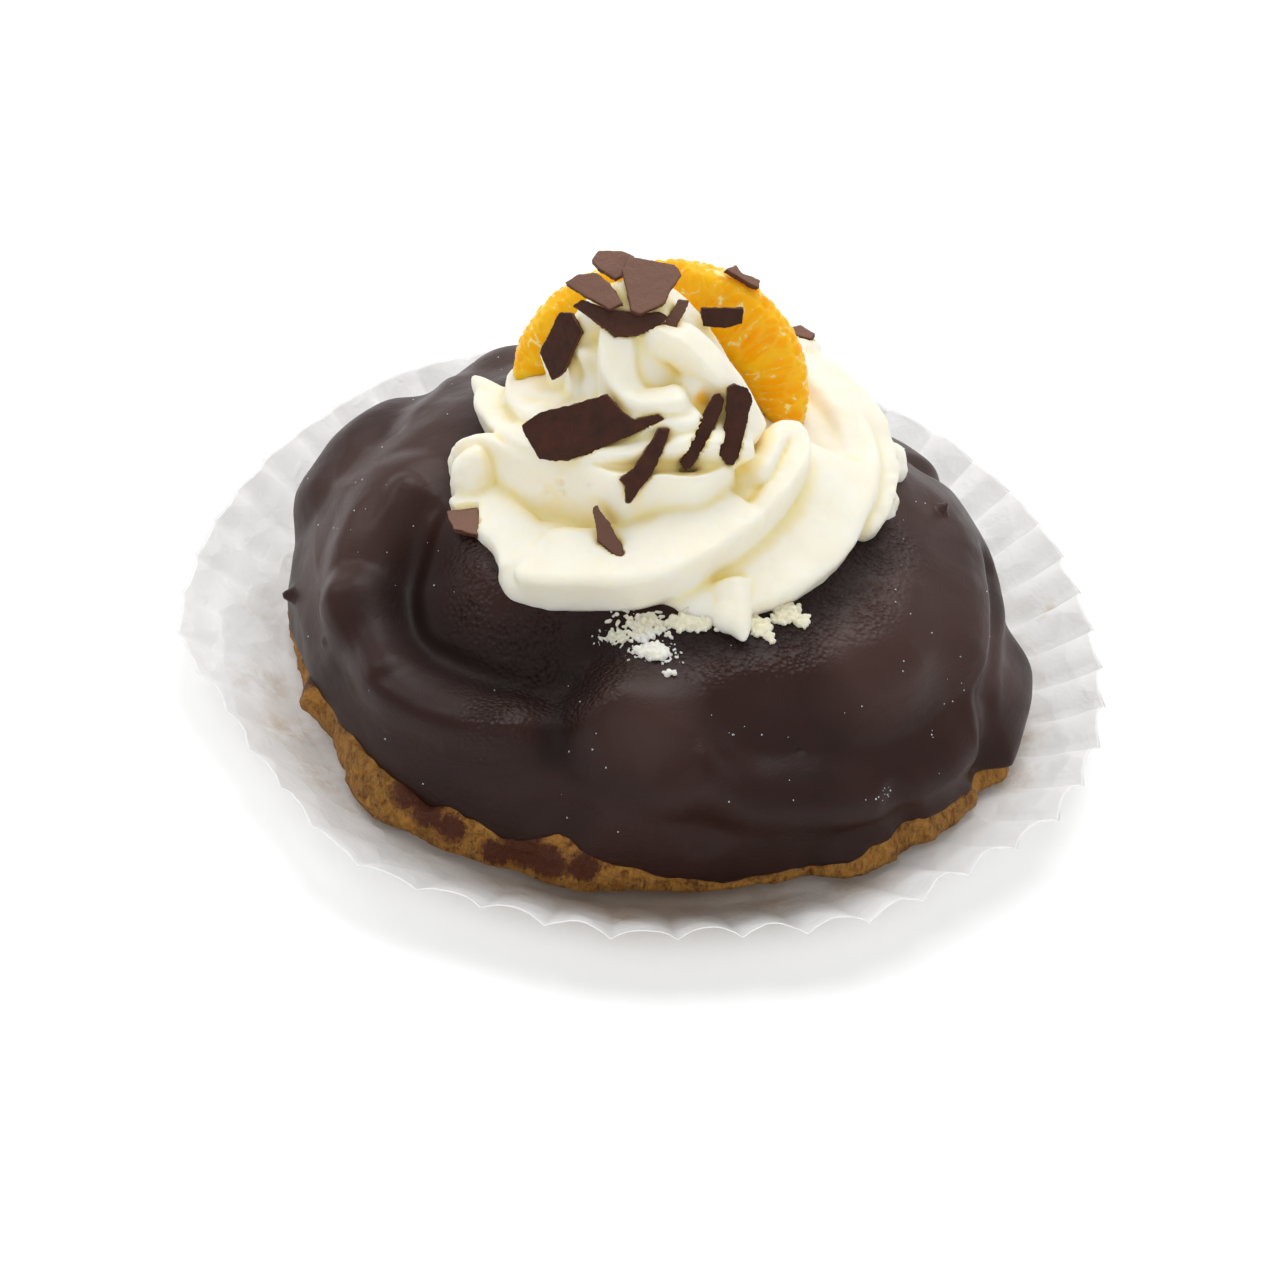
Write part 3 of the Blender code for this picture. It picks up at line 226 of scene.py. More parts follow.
# Arms of the whirl: half width and half height, tilt in degrees (outer side down), pinch of the
# crest, and a path of (azimuth, radius, height)
ARMS = (
    (8, 4.2, 22, 0.14, (
        (-86, 22.2, 35.4), (-76, 24.8, 35.8), (-67, 26.2, 36.2), (-55, 26, 36.9), (-35, 25.2, 37.9),
        (-15, 24.4, 39.9), (-4, 24, 40.5), (4, 23.8, 40))),
    (8, 4.2, -10, 0.14, (
        (-14, 25.4, 35.6), (-2, 25.8, 36.6), (12, 25.9, 37.6), (30, 25.8, 38.6), (48, 25.1, 39.1),
        (68, 22.9, 40.8), (95, 19.9, 43.8), (125, 15.9, 47.8))),
    (5.2, 5.2, 20, 0.16, (
        (-16, 27.5, 33.5), (-7, 29, 34.7), (6, 30.5, 36.2), (15, 30.5, 37.2), (25, 30.7, 38.5),
        (36, 30.5, 39.4), (54, 30.2, 40.2), (76, 28.5, 41.2), (100, 25.5, 43), (126, 21.8, 45.8),
        (152, 17.5, 49), (178, 14, 52))),
    (5.6, 4.6, 18, 0.16, (
        (62, 30, 35.5), (82, 31.8, 35.2), (104, 30, 36.2), (126, 26.2, 37.8), (148, 21.2, 40.5),
        (168, 18, 42))),
    (4.6, 4.6, 14, 0.22, (
        (154, 28.4, 37), (161, 27.8, 37.4), (168, 25.3, 37.9), (178, 22.9, 39), (188, 21.5, 40.8),
        (198, 20.6, 43), (216, 18.4, 46), (236, 16, 48.6), (258, 13.8, 50.8), (282, 13, 52.6),
        (304, 14, 52.2), (316, 15.5, 50))),
    (4.6, 5.2, 15, 0.14, (
        (138, 22.5, 39.2), (152, 24, 40), (160, 22.8, 40.6), (170, 20.5, 41.5), (180, 18.8, 42.8),
        (190, 17.2, 44.8), (208, 15.2, 47.8), (228, 13.2, 50.2))),
    (4, 3.6, 10, 0.12, (
        (215, 13.5, 52.5), (236, 13.2, 53.5), (256, 12.2, 54.5), (274, 11.8, 55), (288, 11, 55.5))),
    (4.8, 4.4, 18, 0.16, (
        (52, 18.5, 45), (66, 17.5, 47.5), (85, 16, 50), (125, 15, 53.5), (165, 11.8, 56),
        (200, 9.5, 58.5))),
)
# Bands and ridges with the same four values, and a path of (x, y, z)
RIDGES = (
    (6.2, 4.2, 10, 0.16, (
        (-18.8, -26.6, 36), (-16, -27.8, 36.8), (-13.2, -28.2, 37.8), (-8.6, -28.1, 38.3),
        (-4.6, -28.1, 38.9), (-1.6, -27.6, 39.9), (1.2, -26.2, 41.1), (5.5, -22.6, 42.5),
        (9.4, -18.4, 43.7), (11.2, -16, 44.3))),
    (2, 3, 0, 0.12, (
        (-3, -31.8, 39), (3.5, -30.2, 40.5), (8.5, -25.8, 42.1), (12.8, -21.2, 43.4), (16.2, -16.3, 45.1),
        (18.6, -11.4, 46.4), (19.7, -6.7, 47.1), (19, -4.1, 47.7), (17.8, -3.3, 48.1), (16.3, -5, 48.1),
        (15.1, -8.2, 48.1), (14.3, -11.7, 48), (13.3, -14.5, 47))),
    (1.9, 6.4, -6, 0.2, (
        (-33.2, -5.8, 35.8), (-27.8, -6.6, 37.6), (-22.4, -11, 38.9), (-17.5, -14.4, 40.5),
        (-12.7, -16.9, 42.5), (-9, -19.5, 43.8), (-5.3, -21.2, 44.7), (-1.1, -20.6, 45.2),
        (2, -20.3, 45.2), (5.1, -19.7, 45.2), (7.7, -17.2, 45.2), (10.1, -14.3, 45.2))),
    (4.6, 5, 16, 0.1, (
        (-29.6, -8.6, 33), (-26, -13.4, 33.4), (-22.8, -17.8, 33.8), (-20, -22.2, 34.5),
        (-18.6, -26.2, 34.8), (-17.8, -29.6, 34.6))),
    (2.8, 3.2, 0, 0.12, (
        (-9.5, -0.5, 66.5), (-9.8, -4.5, 62.2), (-8.8, -8.2, 58.2), (-6, -10.8, 56.2),
        (-1.5, -11.5, 56.8), (2.5, -10.8, 58.5))),
    (3, 2.8, 0, 0.12, (
        (-7.5, -0.5, 66.8), (-3.5, -2.8, 64.5), (0.5, -4, 63.5), (5.5, -6, 60), (9.2, -7.8, 55.8),
        (12, -9.2, 51.5))),
    (3.8, 3.2, 0, 0.12, ((-7.5, 2, 67), (-3.5, 3.5, 64), (0.2, 3, 60), (3.5, 0.5, 56), (7, -2.5, 52))),
    (3, 3.4, 0, 0.12, (
        (-10.5, 1, 66.5), (-13.2, 1.5, 61.5), (-14, 1, 56.5), (-13.8, -1, 52), (-12, -5, 49))),
    (5.8, 4.8, 10, 0.05, (
        (-23.2, 10, 40.5), (-20, 7, 42.5), (-16.5, 4, 44.6), (-13, 0.5, 46.8), (-10, -3, 48.2))),
    (3.6, 3.4, 0, 0.12, ((-9.5, 3, 66), (-12, 7, 60), (-13, 11, 55), (-16, 15, 50))),
)
PATH_FINENESS = 16
TUBE_SIDES = 40
END_SHARE = 0.08
CREST_ANGLE = math.radians(50)
CREST_SPREAD = 0.42
SQUARENESS = 0.50
# Soft lumps that fill out the whirl: middle and half sizes
LUMPS = (
    ((-18.4, -28, 35.2), (5, 5.2, 5)), ((-14, -22.5, 37.2), (8, 5, 3.4)), ((12, -10, 45), (5, 5.6, 5.4)),
    ((11.8, -30.5, 35.8), (3.6, 5, 3.2)), ((3, -5.2, 56), (4.4, 5.8, 6)), ((8, -29, 35.5), (6, 5, 3.6)),
    ((33, 1, 34.5), (4, 5, 4.2)), ((34.5, 9.5, 36.5), (3.4, 4.4, 3.8)), ((-29.7, -9, 36.8), (3.6, 3.6, 7)),
    ((12.5, -15, 44), (4.5, 3.5, 3.2)), ((19, 29.6, 43.2), (3.8, 3.4, 2.2)),
    ((1.8, -10.5, 45.5), (4, 4, 3)),
)
LUMP_SUBDIVISIONS = 4
# Pointed flicks of cream: start, end and radius
FLICKS = (
    ((11.2, -28.2, 36.8), (14.6, -37.2, 35), 4.2), ((-27, 8.5, 38.2), (-33, 14.2, 41.2), 3.6),
    ((4, 30, 37), (5, 36.2, 36.2), 3.4),
)
FLICK_SIDES = 20
FLICK_ROWS = 10
FLICK_ROUNDNESS = 0.7
CREAM_RIPPLES = ((0.25, 4.2, 2), (0.1, 1.6, 9))
# The torn ends of the cream: where they start and are full, to the left, the front and the right
TORN_RIPPLES = ((0.6, 3.2, 15), (0.3, 1.4, 18))
TORN_LEFT = (29, 32.5)
TORN_FRONT = (1, 5)
TORN_RIGHT = (33, 36)
# How far a point lies in a hollow: steps of evening out, and the depth that counts as 1
HOLLOW_STEPS = 24
HOLLOW_DEPTH = 0.7
# Rays that find the cream's sheltered places: where they start above it, how far they reach, how wide
# they spread and how much they lean to the sky
SHELTER_RAYS = 16
SHELTER_START = 0.4
SHELTER_REACH = 14
SHELTER_SPREAD = 0.95
SHELTER_LEAN = 0.5
SHELTER_STEPS = 6
# Mandarin juice on the cream between the rods: its middle and half sizes
JUICE_PLACE = np.array([3.8, -9.0, 57.0])
JUICE_REACH = np.array([2.0, 5.0, 4.2])
# Bubbles that opened in the cream's front wall: azimuth, height and radius
BUBBLES = (
    (-151, 44.5, 0.6), (-141, 44, 0.5), (-133, 45.2, 0.8), (-131, 43.8, 0.7), (-137, 42.5, 0.5),
    (-120, 47.5, 0.4), (-98, 44, 0.4), (-70, 44, 0.3),
)
BUBBLE_DEPTH = 1.1
BUBBLE_REACH = 1.3
BUBBLE_NEIGHBOURS = 40

# Mandarin segments: middle, radius and lean of their outer arc, and for each the ends of its arc in
# degrees from +X towards +Z, its thickness and its breadth
MANDARIN_MIDDLE = np.array([-2.5, 10.5, 43.0])
MANDARIN_RADIUS = 24.2
MANDARIN_LEAN = math.radians(15)
MANDARINS = {"mandarin_right": (-10, 104, 10.5, 12.2), "mandarin_left": (108, 192, 10.0, 11.2)}
MANDARIN_STEPS = 260
MANDARIN_SIDES = 120
END_BREADTH = 0.35
END_ROUNDNESS = 0.45
BACK_FULLNESS = 0.20
MANDARIN_RIPPLES = ((0.25, 6, 13),)
# Juice sacs: their sizes, the waves that bend them along and across the arc, and their relief
SAC_SIZES = np.array([1.7, 5.2, 2.1])
SAC_WAVES = ((0.55, 5, 3), (0.35, 4, 6))
SAC_EDGE = 0.45
SAC_DEPTH = 0.28

# Broken chocolate, with its noise offset by a number that its name gives
SHARD_GRAIN = 0.16
SHARD_SEEDS = 97
SHARD_FACE_RIPPLES = ((0.06, 1.6, 0),)
SHARD_RIM_RIPPLES = ((0.22, 1.3, 5), (0.1, 0.5, 9))
# How far a face is turned from the flat side where the rim starts and is full, and how far the flat
# side looks up where the painted sheen of a lit upper face starts and is full
SHARD_RIM = (0.3, 0.8)
SHARD_PAINTED_SHEEN = (0.66, 0.90)
# Cream over a shard is pressed down below it: the gap left, the depth of cream that is pressed, and
# the margin around the shard, the height and the step of the search
SHARD_CLEARANCE = 0.1
COVER_REACH = 3.5
COVER_MARGIN = 3
COVER_START = 20
COVER_STEP = 0.01

# Crumbs of cream on the glaze: azimuth, rise, reach around and reach up, bead radius and count
CRUMBS = (
    (-91, 0.618, 4.4, 2.2, 0.3, 260), (-97, 0.592, 3.2, 1, 0.22, 110), (-77, 0.634, 4.4, 1.4, 0.55, 150),
    (-63, 0.604, 1.4, 1.8, 0.5, 80), (-62, 0.576, 0.6, 1.6, 0.34, 34), (-55, 0.622, 2.6, 2, 0.46, 100),
    (-52, 0.594, 0.9, 1.8, 0.38, 44), (-88, 0.556, 2, 1.2, 0.5, 110), (-88, 0.556, 3.8, 2, 0.2, 120),
    (-85, 0.499, 0.6, 0.6, 0.4, 14),
)
CRUMB_GRAIN = 0.13
CRUMB_SPREAD = 0.5
CRUMB_LIMIT = 1.3
CRUMB_SIZES = (0.45, 1.15)
CRUMB_LIFT = (0.0, 0.9)
CRUMB_STRETCH = (1.0, 2.2)
CRUMB_RIPPLES = ((0.14, 0.5, 4),)
# Painted shade given to the crumbs, taken away where they are powdery
CRUMB_PAINTED_SHADE = 0.22
# White powdery crumbs among them: azimuth, rise and reach
POWDER = ((-88, 0.556, 5), (-85, 0.499, 2))
POWDER_FULL = 0.5
# The dome's radius there, and the length along its surface for a whole rise
CRUMB_RADIUS = 38
CRUMB_SLOPE = 70
# Tiny specks: how many, their rises and radii, and clusters by azimuth, rise, reach and count
SPECK_COUNT = 120
SPECK_RISES = (0.04, 0.58)
SPECK_RADII = (0.06, 0.15)
SPECK_CLUSTERS = ((-38, 0.139, 1, 3), (-50, 0.087, 0.9, 12), (-74, 0.337, 0.3, 5), (-30, 0.16, 2, 3))
BEAD_SUBDIVISIONS = 2

# Where most of a noise texture's values lie, and the colour sockets of a Mix node
NOISE_RANGE = (0.3, 0.7)
MIX_INPUTS = (6, 7)
MIX_OUTPUT = 2


def in_scene(name, data):
    obj = bpy.data.objects.new(name, data)
    bpy.context.scene.collection.objects.link(obj)
    return obj


def add_piece(name, mesh, surface, nodes):
    """Puts a finished piece in the scene, in the place of the solids that it stands for."""
    obj = in_scene(name, mesh)
    mesh.name = name
    mesh.materials.append(surface)
    mesh.shade_smooth()
    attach(obj, "root")
    if nodes:
        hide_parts(*nodes)


def shape_of(meshes):
    """One bmesh that holds all the given meshes."""
    shape = bmesh.new()
    for mesh in meshes:
        shape.from_mesh(mesh)
    return shape


def mesh_from(shape):
    """A new mesh from a bmesh, which is freed."""
    mesh = bpy.data.meshes.new("mesh")
    shape.to_mesh(mesh)
    shape.free()
    return mesh


def search_tree(meshes):
    shape = shape_of(meshes)
    bmesh.ops.scale(shape, vec=Vector((1, 1, 1)) / MM, verts=shape.verts)
    tree = BVHTree.FromBMesh(shape)
    shape.free()
    return tree


def solid(name):
    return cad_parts[name].data


def shard_names():
    return [name for name in sorted(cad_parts) if name.startswith("shard_")]


def set_attribute(mesh, name, values):
    layer = mesh.attributes.new(name, "FLOAT", "POINT")
    layer.data.foreach_set("value", np.asarray(values, np.float32))


def vectors(items, name):
    flat = np.empty(len(items) * 3, np.float32)
    items.foreach_get(name, flat)
    return flat.reshape(-1, 3).astype(float)


def coordinates(mesh):
    return vectors(mesh.vertices, "co") / MM


def vertex_normals(mesh):
    return vectors(mesh.vertex_normals, "vector")


def move_points(mesh, points):
    mesh.vertices.foreach_set("co", (MM * points).astype(np.float32).ravel())
    mesh.update()


def push_out(mesh, push):
    """Moves each point along its normal."""
    move_points(mesh, coordinates(mesh) + vertex_normals(mesh) * push[:, None])


def remeshed(meshes, grain, smoothing):
    """All the meshes as one even skin."""
    obj = in_scene("remesh helper", mesh_from(shape_of(meshes)))
    skin = obj.modifiers.new("one skin", "REMESH")
    skin.mode = "VOXEL"
    skin.voxel_size = MM * grain
    soften = obj.modifiers.new("soften", "SMOOTH")
    soften.iterations = smoothing
    graph = bpy.context.evaluated_depsgraph_get()
    result = bpy.data.meshes.new_from_object(obj.evaluated_get(graph))
    bpy.data.objects.remove(obj, do_unlink=True)
    return result


def closed_body(rings, bottom, top):
    """A closed mesh through rings of points, with a point at each end."""
    count = len(rings[0])
    points = np.vstack([*rings, bottom, top])
    low = len(points) - 2
    last = (len(rings) - 1) * count
    faces = []
    for j in range(count):
        k = (j + 1) % count
        faces += [(k, j, low), (last + j, last + k, low + 1)]
        faces += [(i + j, i + k, i + count + k, i + count + j) for i in range(0, last, count)]
    mesh = bpy.data.meshes.new("mesh")
    mesh.from_pydata((MM * points).tolist(), [], faces)
    shape = shape_of([mesh])
    bmesh.ops.recalc_face_normals(shape, faces=shape.faces)
    shape.to_mesh(mesh)
    shape.free()
    return mesh


def ball(middle, sizes, subdivisions, turn=np.eye(3)):
    """An ellipsoid by its middle and half sizes, turned by a matrix."""
    shape = bmesh.new()
    bmesh.ops.create_icosphere(shape, subdivisions=subdivisions, radius=MM)
    mesh = mesh_from(shape)
    move_points(mesh, coordinates(mesh) * sizes @ turn.T + middle)
    return mesh


def catmull_rom(a, b, c, d, f):
    """A share f of the way from b to c, on a smooth curve through a, b, c and d."""
    return b + f / 2 * (c - a + f * (2 * a - 5 * b + 4 * c - d + f * (3 * (b - c) + d - a)))


def smooth_path(points, fineness):
    """A smooth curve through the given points, with that many times as many points."""
    knots = np.asarray(points, float)
    knots = np.vstack([2 * knots[0] - knots[1], knots, 2 * knots[-1] - knots[-2]])
    place = np.linspace(0, len(points) - 1, fineness * len(points))
    start = np.minimum(place.astype(int), len(points) - 2)
    return catmull_rom(*(knots[start + k] for k in range(4)), (place - start)[:, None])


def ring_value(values, azimuth):
    """The value at an azimuth, on a smooth closed curve through evenly spaced values."""
    ring = np.asarray(values)
    place = np.asarray(azimuth) / 360 * len(ring)
    start = np.floor(place).astype(int)
    return catmull_rom(*(ring[(start + k) % len(ring)] for k in (-1, 0, 1, 2)), place - start)


def azimuths(count):
    return np.arange(count) * 360 / count


def polar(azimuth, radius, height):
    """Points from azimuths, radii and heights."""
    around = np.radians(azimuth)
    return np.stack(np.broadcast_arrays(radius * np.cos(around), radius * np.sin(around), height), axis=-1)


def noise_at(points, size, offset=0):
    """Smooth noise from -1 to 1 at each point, with features of the given size."""
    moved = points / size + np.array([offset, offset * 0.7, offset * 1.3])
    return np.array([noise.noise(p) for p in moved.tolist()])


def ripples(points, layers, seed=0):
    """The sum of layers of noise, each with its height, size and offset."""
    return sum(height * noise_at(points, size, seed + offset) for height, size, offset in layers)


def unit(vectors):
    return vectors / np.linalg.norm(vectors, axis=-1, keepdims=True)


def smoothstep(low, high, values):
    t = np.clip((values - low) / (high - low), 0, 1)
    return t * t * (3 - 2 * t)


def falloff(distance, reach):
    return np.clip(1 - (distance / reach) ** 2, 0, 1) ** 2


def dome_base(azimuth, rise):
    """Points of the plain dome, before its relief."""
    climb = np.radians(90) * np.clip(rise, 0, 1)
    radius = ring_value(BUN_RADII, azimuth) * np.clip(np.cos(climb), 0, 1) ** DOME_ROUNDNESS
    return polar(azimuth, radius, DOME_FOOT + DOME_HEIGHT * np.sin(climb) ** DOME_FULLNESS)


def dome_normals(azimuth, rise):
    low = np.clip(rise - RISE_STEP, 0, 1 - RISE_MARGIN)
    high = np.clip(rise + RISE_STEP, RISE_MARGIN, 1)
    level = np.clip(rise, 0, DOME_TOP)
    across = dome_base(azimuth + AZIMUTH_STEP, level) - dome_base(azimuth - AZIMUTH_STEP, level)
    return unit(np.cross(across, dome_base(azimuth, high) - dome_base(azimuth, low)))


def near_path(points, path, reach, surface):
    """1 on a path of (azimuth, rise) over a surface, and 0 from its reach on."""
    line = surface(*smooth_path(path, 4).T)
    nearest = np.full(len(points), np.inf)
    for start, end in zip(line[:-1], line[1:]):
        along = end - start
        place = np.clip((points - start) @ along / (along @ along), 0, 1)
        offset = points - start - place[:, None] * along
        nearest = np.minimum(nearest, np.linalg.norm(offset, axis=1))
    return falloff(nearest, reach)


def near_spot(points, azimuth, rise, reach):
    """1 at a spot of the dome, and 0 from its reach on."""
    return falloff(np.linalg.norm(points - dome_base(azimuth, rise), axis=1), reach)


def near_spots(points, spots):
    """A row for each of several spots, given by its azimuth, rise and reach."""
    return np.array([near_spot(points, *spot) for spot in spots])


def bumps(points, spots):
    """The sum of bumps and pits on the dome, each given by its azimuth, rise, reach and depth."""
    return sum(depth * near_spot(points, *spot) for *spot, depth in spots)


def relief(points):
    """How far the glazed surface stands out of the plain dome at each of its points."""
    height = ripples(points, DOME_LUMPS)
    for reach, depth, path in RELIEF:
        height += depth * near_path(points, path, reach, dome_base)
    return height + bumps(points, NUBS)


def glazed_point(azimuth, rise, depth=0.0):
    """Points at a depth under the glazed surface, for arrays of azimuth and rise."""
    base = dome_base(azimuth, rise)
    marks = ripples(base, FLOW_MARKS) + ripples(base * FLOW_SQUEEZE, FLOW_STREAKS)
    return base + dome_normals(azimuth, rise) * (relief(base) + marks - depth)[:, None]


def rise_at(height):
    """The rise at which the plain dome has a height."""
    share = np.clip((height - DOME_FOOT) / DOME_HEIGHT, 0, 1)
    return np.degrees(np.arcsin(share ** (1 / DOME_FULLNESS))) / 90


def edge_rise(azimuth):
    """The rise of the glaze's wavy, ragged lower edge."""
    height = ring_value(GLAZE_EDGE, azimuth) + ripples(polar(azimuth, BUN_RADII[0], 0.0), EDGE_RIPPLES)
    for middle, reach, change in EDGE_DRIPS:
        height += change * falloff((azimuth - middle + 180) % 360 - 180, reach)
    return rise_at(height)


def glaze_skin():
    """The glaze as a closed shell: its outside, a rounded lip, and a plain inside."""
    around = azimuths(DOME_COLUMNS)
    edge = edge_rise(around)
    rings = []
    for share in np.linspace(1, FIRST_ROW_INSIDE, GLAZE_ROWS_INSIDE):
        rings.append(glazed_point(around, edge + (DOME_TOP - edge) * share, GLAZE_THICKNESS))
    for turn in np.radians(LIP_TURNS):
        drop = np.minimum(LIP_DROP, LIP_SHARE * edge) * math.sin(turn)
        rings.append(glazed_point(around, edge - drop, GLAZE_THICKNESS / 2 * (1 - math.cos(turn))))
    for share in np.linspace(FIRST_ROW, 1, GLAZE_ROWS) ** ROW_SPREAD:
        rings.append(glazed_point(around, edge + (CREAM_FOOT_RISE - edge) * share))
    for rise in np.linspace(CREAM_FOOT_RISE, DOME_TOP, GLAZE_ROWS_UNDER_CREAM)[1:]:
        rings.append(glazed_point(around, np.full_like(edge, rise)))
    top = glazed_point(np.array([0.0]), np.array([1.0]))[0] * UP
    mesh = closed_body(rings, top - GLAZE_THICKNESS * UP, top)
    points = coordinates(mesh)
    grain = GRAIN_STRENGTH * near_spots(points, GRAIN_PATCHES).sum(axis=0)
    set_attribute(mesh, "grain", np.clip(grain, 0, 1))
    set_attribute(mesh, "bloom_and_sheen", np.clip(near_spots(points, BLOOM_AND_SHEEN_PATCHES).sum(axis=0), 0, 1))
    # Painted shade along the shade paths
    painted_shades = [near_path(points, path, reach, glazed_point) for reach, path in PAINTED_SHADE_PATHS]
    set_attribute(mesh, "painted_shade", np.max(painted_shades, axis=0))
    return mesh


def crust_relief(azimuth, rise):
    """Crags and flaps of the bare crust."""
    base = dome_base(azimuth, rise)
    height = bumps(base, CRUST_FLAPS)
    for size, depth, offset in CRAGS:
        sharp = 1 - 2 * np.abs(noise_at(base, size, offset))
        height += depth * (CRAG_ROUND * noise_at(base, size, offset + 1) + CRAG_SHARP * sharp)
    return height


def bun_crust():
    """The bare crust below the glaze, and the plain bun inside it."""
    around = azimuths(DOME_COLUMNS)
    edge = edge_rise(around)
    foot = ring_value(BUN_RADII, around) + FOOT_CRAGS * crust_relief(around, 0 * around)
    rings = [polar(around, foot - inset, height) for inset, height in BUN_FOOT]
    for share in np.linspace(0, CRUST_TOP, CRUST_ROWS):
        rise = edge * share
        base = dome_base(around, rise)
        depth = GLAZE_THICKNESS * np.interp(share, (0, 1), CRUST_DEPTHS)
        crags = crust_relief(around, rise) * (1 - smoothstep(*CRAGS_FADE, share))
        rings.append(base + dome_normals(around, rise) * (relief(base) + crags - depth)[:, None])
    for share, depth in BUN_INSIDE:
        rings.append(glazed_point(around, edge + (BUN_INSIDE_TOP - edge) * share, depth))
    mesh = closed_body(rings, BUN_BOTTOM * UP, rings[-1].mean(axis=0) * UP)
    set_attribute(mesh, "smear", near_spots(coordinates(mesh), SMEARS).max(axis=0))
    return mesh


def case_points(share, azimuth, fold, rim):
    """Points of the case's wall, with fold 1 on an outer pleat edge and -1 on an inner one."""
    slope = np.arctan2(CASE_RIM_HEIGHT, rim - CASE_FLOOR_RADIUS) * min(1, share * 3)
    depth = ring_value(CASE_PLEAT_DEPTHS, azimuth) * share**PLEAT_GROWTH * fold
    radius = CASE_FLOOR_RADIUS + (rim - CASE_FLOOR_RADIUS) * share + depth * np.sin(slope)
    return polar(azimuth, radius, CASE_RIM_HEIGHT * share**CASE_WALL_CURVE - depth * np.cos(slope))


def pleated_paper():
    """The paper as a thin closed sheet with sharp pleats that fade towards its floor."""
    columns = 2 * CASE_PLEATS * CASE_COLUMNS_PER_FOLD
    around = azimuths(columns)
    place = np.arange(columns) / CASE_COLUMNS_PER_FOLD
    inwards = 1 - np.abs(place % 2 - 1)
    fold = 1 - 2 * np.sin(inwards * math.pi / 2) ** PLEAT_SHARPNESS
    row = np.stack([PLEAT_NOISE_STEP * np.round(place), 0 * place + PLEAT_NOISE_ROW, 0 * place], axis=-1)
    rim = ring_value(CASE_RIM, around) + RIM_UNEVEN * noise_at(row, 1) + RIM_FLARE * fold
    wall = []
    for share in np.linspace(0, 1, CASE_ROWS):
        ring = case_points(share, around, fold, rim)
        crumpled = ring[:, 2] + share * ripples(ring * (1 - UP), CASE_CRUMPLE)
        ring[:, 2] = np.maximum(crumpled, CASE_LIFT)
        wall.append(ring)
    floor = [wall[0] * (1 - UP) * share + CASE_LIFT * UP for share in CASE_FLOOR_RINGS]
    under = floor + wall
    above = [ring + CASE_SHEET * UP for ring in under[::-1]]
    mesh = closed_body(under + above, CASE_LIFT * UP, (CASE_LIFT + CASE_SHEET) * UP)
    flat = coordinates(mesh) * (1 - UP)
    grease_and_shade = np.zeros(len(flat))
    for azimuth, radius, reach, strength in GREASE_AND_SHADE:
        grease_and_shade += strength * falloff(np.linalg.norm(flat - polar(azimuth, radius, 0), axis=1), reach)
    set_attribute(mesh, "grease_and_shade", np.clip(grease_and_shade, 0, 1))
    # Painted shade under the bun's foot at the front
    painted_foot_shade = FOOT_SHADE_STRENGTH * (1 - smoothstep(*FOOT_SHADE_RADII, np.linalg.norm(flat, axis=1)))
    azimuth = np.degrees(np.arctan2(flat[:, 1], flat[:, 0]))
    set_attribute(mesh, "painted_foot_shade", painted_foot_shade * falloff(azimuth - FOOT_SHADE_AZIMUTH, FOOT_SHADE_REACH))
    return mesh


def squared(values):
    """Pulls a round section towards a box."""
    return np.sign(values) * np.abs(values) ** SQUARENESS


def tube(path, half_width, half_height, tilt, pinch):
    """A rounded-end tube along a path, with a pinched crest on its outer upper corner."""
    along = unit(np.gradient(path, axis=0))
    across = unit(np.cross(along, UP))
    if (across * (path - PEAK)).sum() < 0:
        across = -across
    up = np.cross(along, across)
    up *= np.where(up[:, 2:3] < 0, -1, 1)
    share = np.linspace(0, 1, len(path))
    near_end = np.clip(np.minimum(share, 1 - share) / END_SHARE, 0, 1)
    taper = np.sqrt(near_end * (2 - near_end))
    lean = math.radians(tilt)
    angles = np.radians(azimuths(TUBE_SIDES))
    away = np.abs((angles - CREST_ANGLE + math.pi) % (2 * math.pi) - math.pi)
    reach = 1 + pinch * np.exp(-((away / CREST_SPREAD) ** 2))
    u = half_width * reach * squared(np.cos(angles))
    v = half_height * reach * squared(np.sin(angles))
    u, v = u * math.cos(lean) + v * math.sin(lean), v * math.cos(lean) - u * math.sin(lean)
    sections = u[:, None] * across[:, None] + v[:, None] * up[:, None]
    rings = path[:, None] + taper[:, None, None] * sections
    return closed_body(rings[1:-1], path[0], path[-1])


def cream_core():
    top = CREAM_CORE[-1][1]
    rings = []
    for radius, height in CREAM_CORE:
        bend = max(0.0, (height - PEAK_BEND_START) / (top - PEAK_BEND_START))
        rings.append(polar(azimuths(CORE_SIDES), radius, height) + bend * PEAK)
    return closed_body(rings, CREAM_CORE[0][1] * UP, PEAK + (top + PEAK_TIP) * UP)


def flick(start, end, radius):
    """A short pointed cone."""
    start = np.array(start)
    along = unit(end - start)
    across = unit(np.cross(along, UP))
    angles = np.radians(azimuths(FLICK_SIDES))[:, None]
    circle = np.cos(angles) * across + np.sin(angles) * np.cross(across, along)
    rings = []
    for share in np.linspace(0, 0.95, FLICK_ROWS):
        rings.append(start + share * (end - start) + radius * (1 - share) ** FLICK_ROUNDNESS * circle)
    return closed_body(rings, start - along * radius / 2, end)


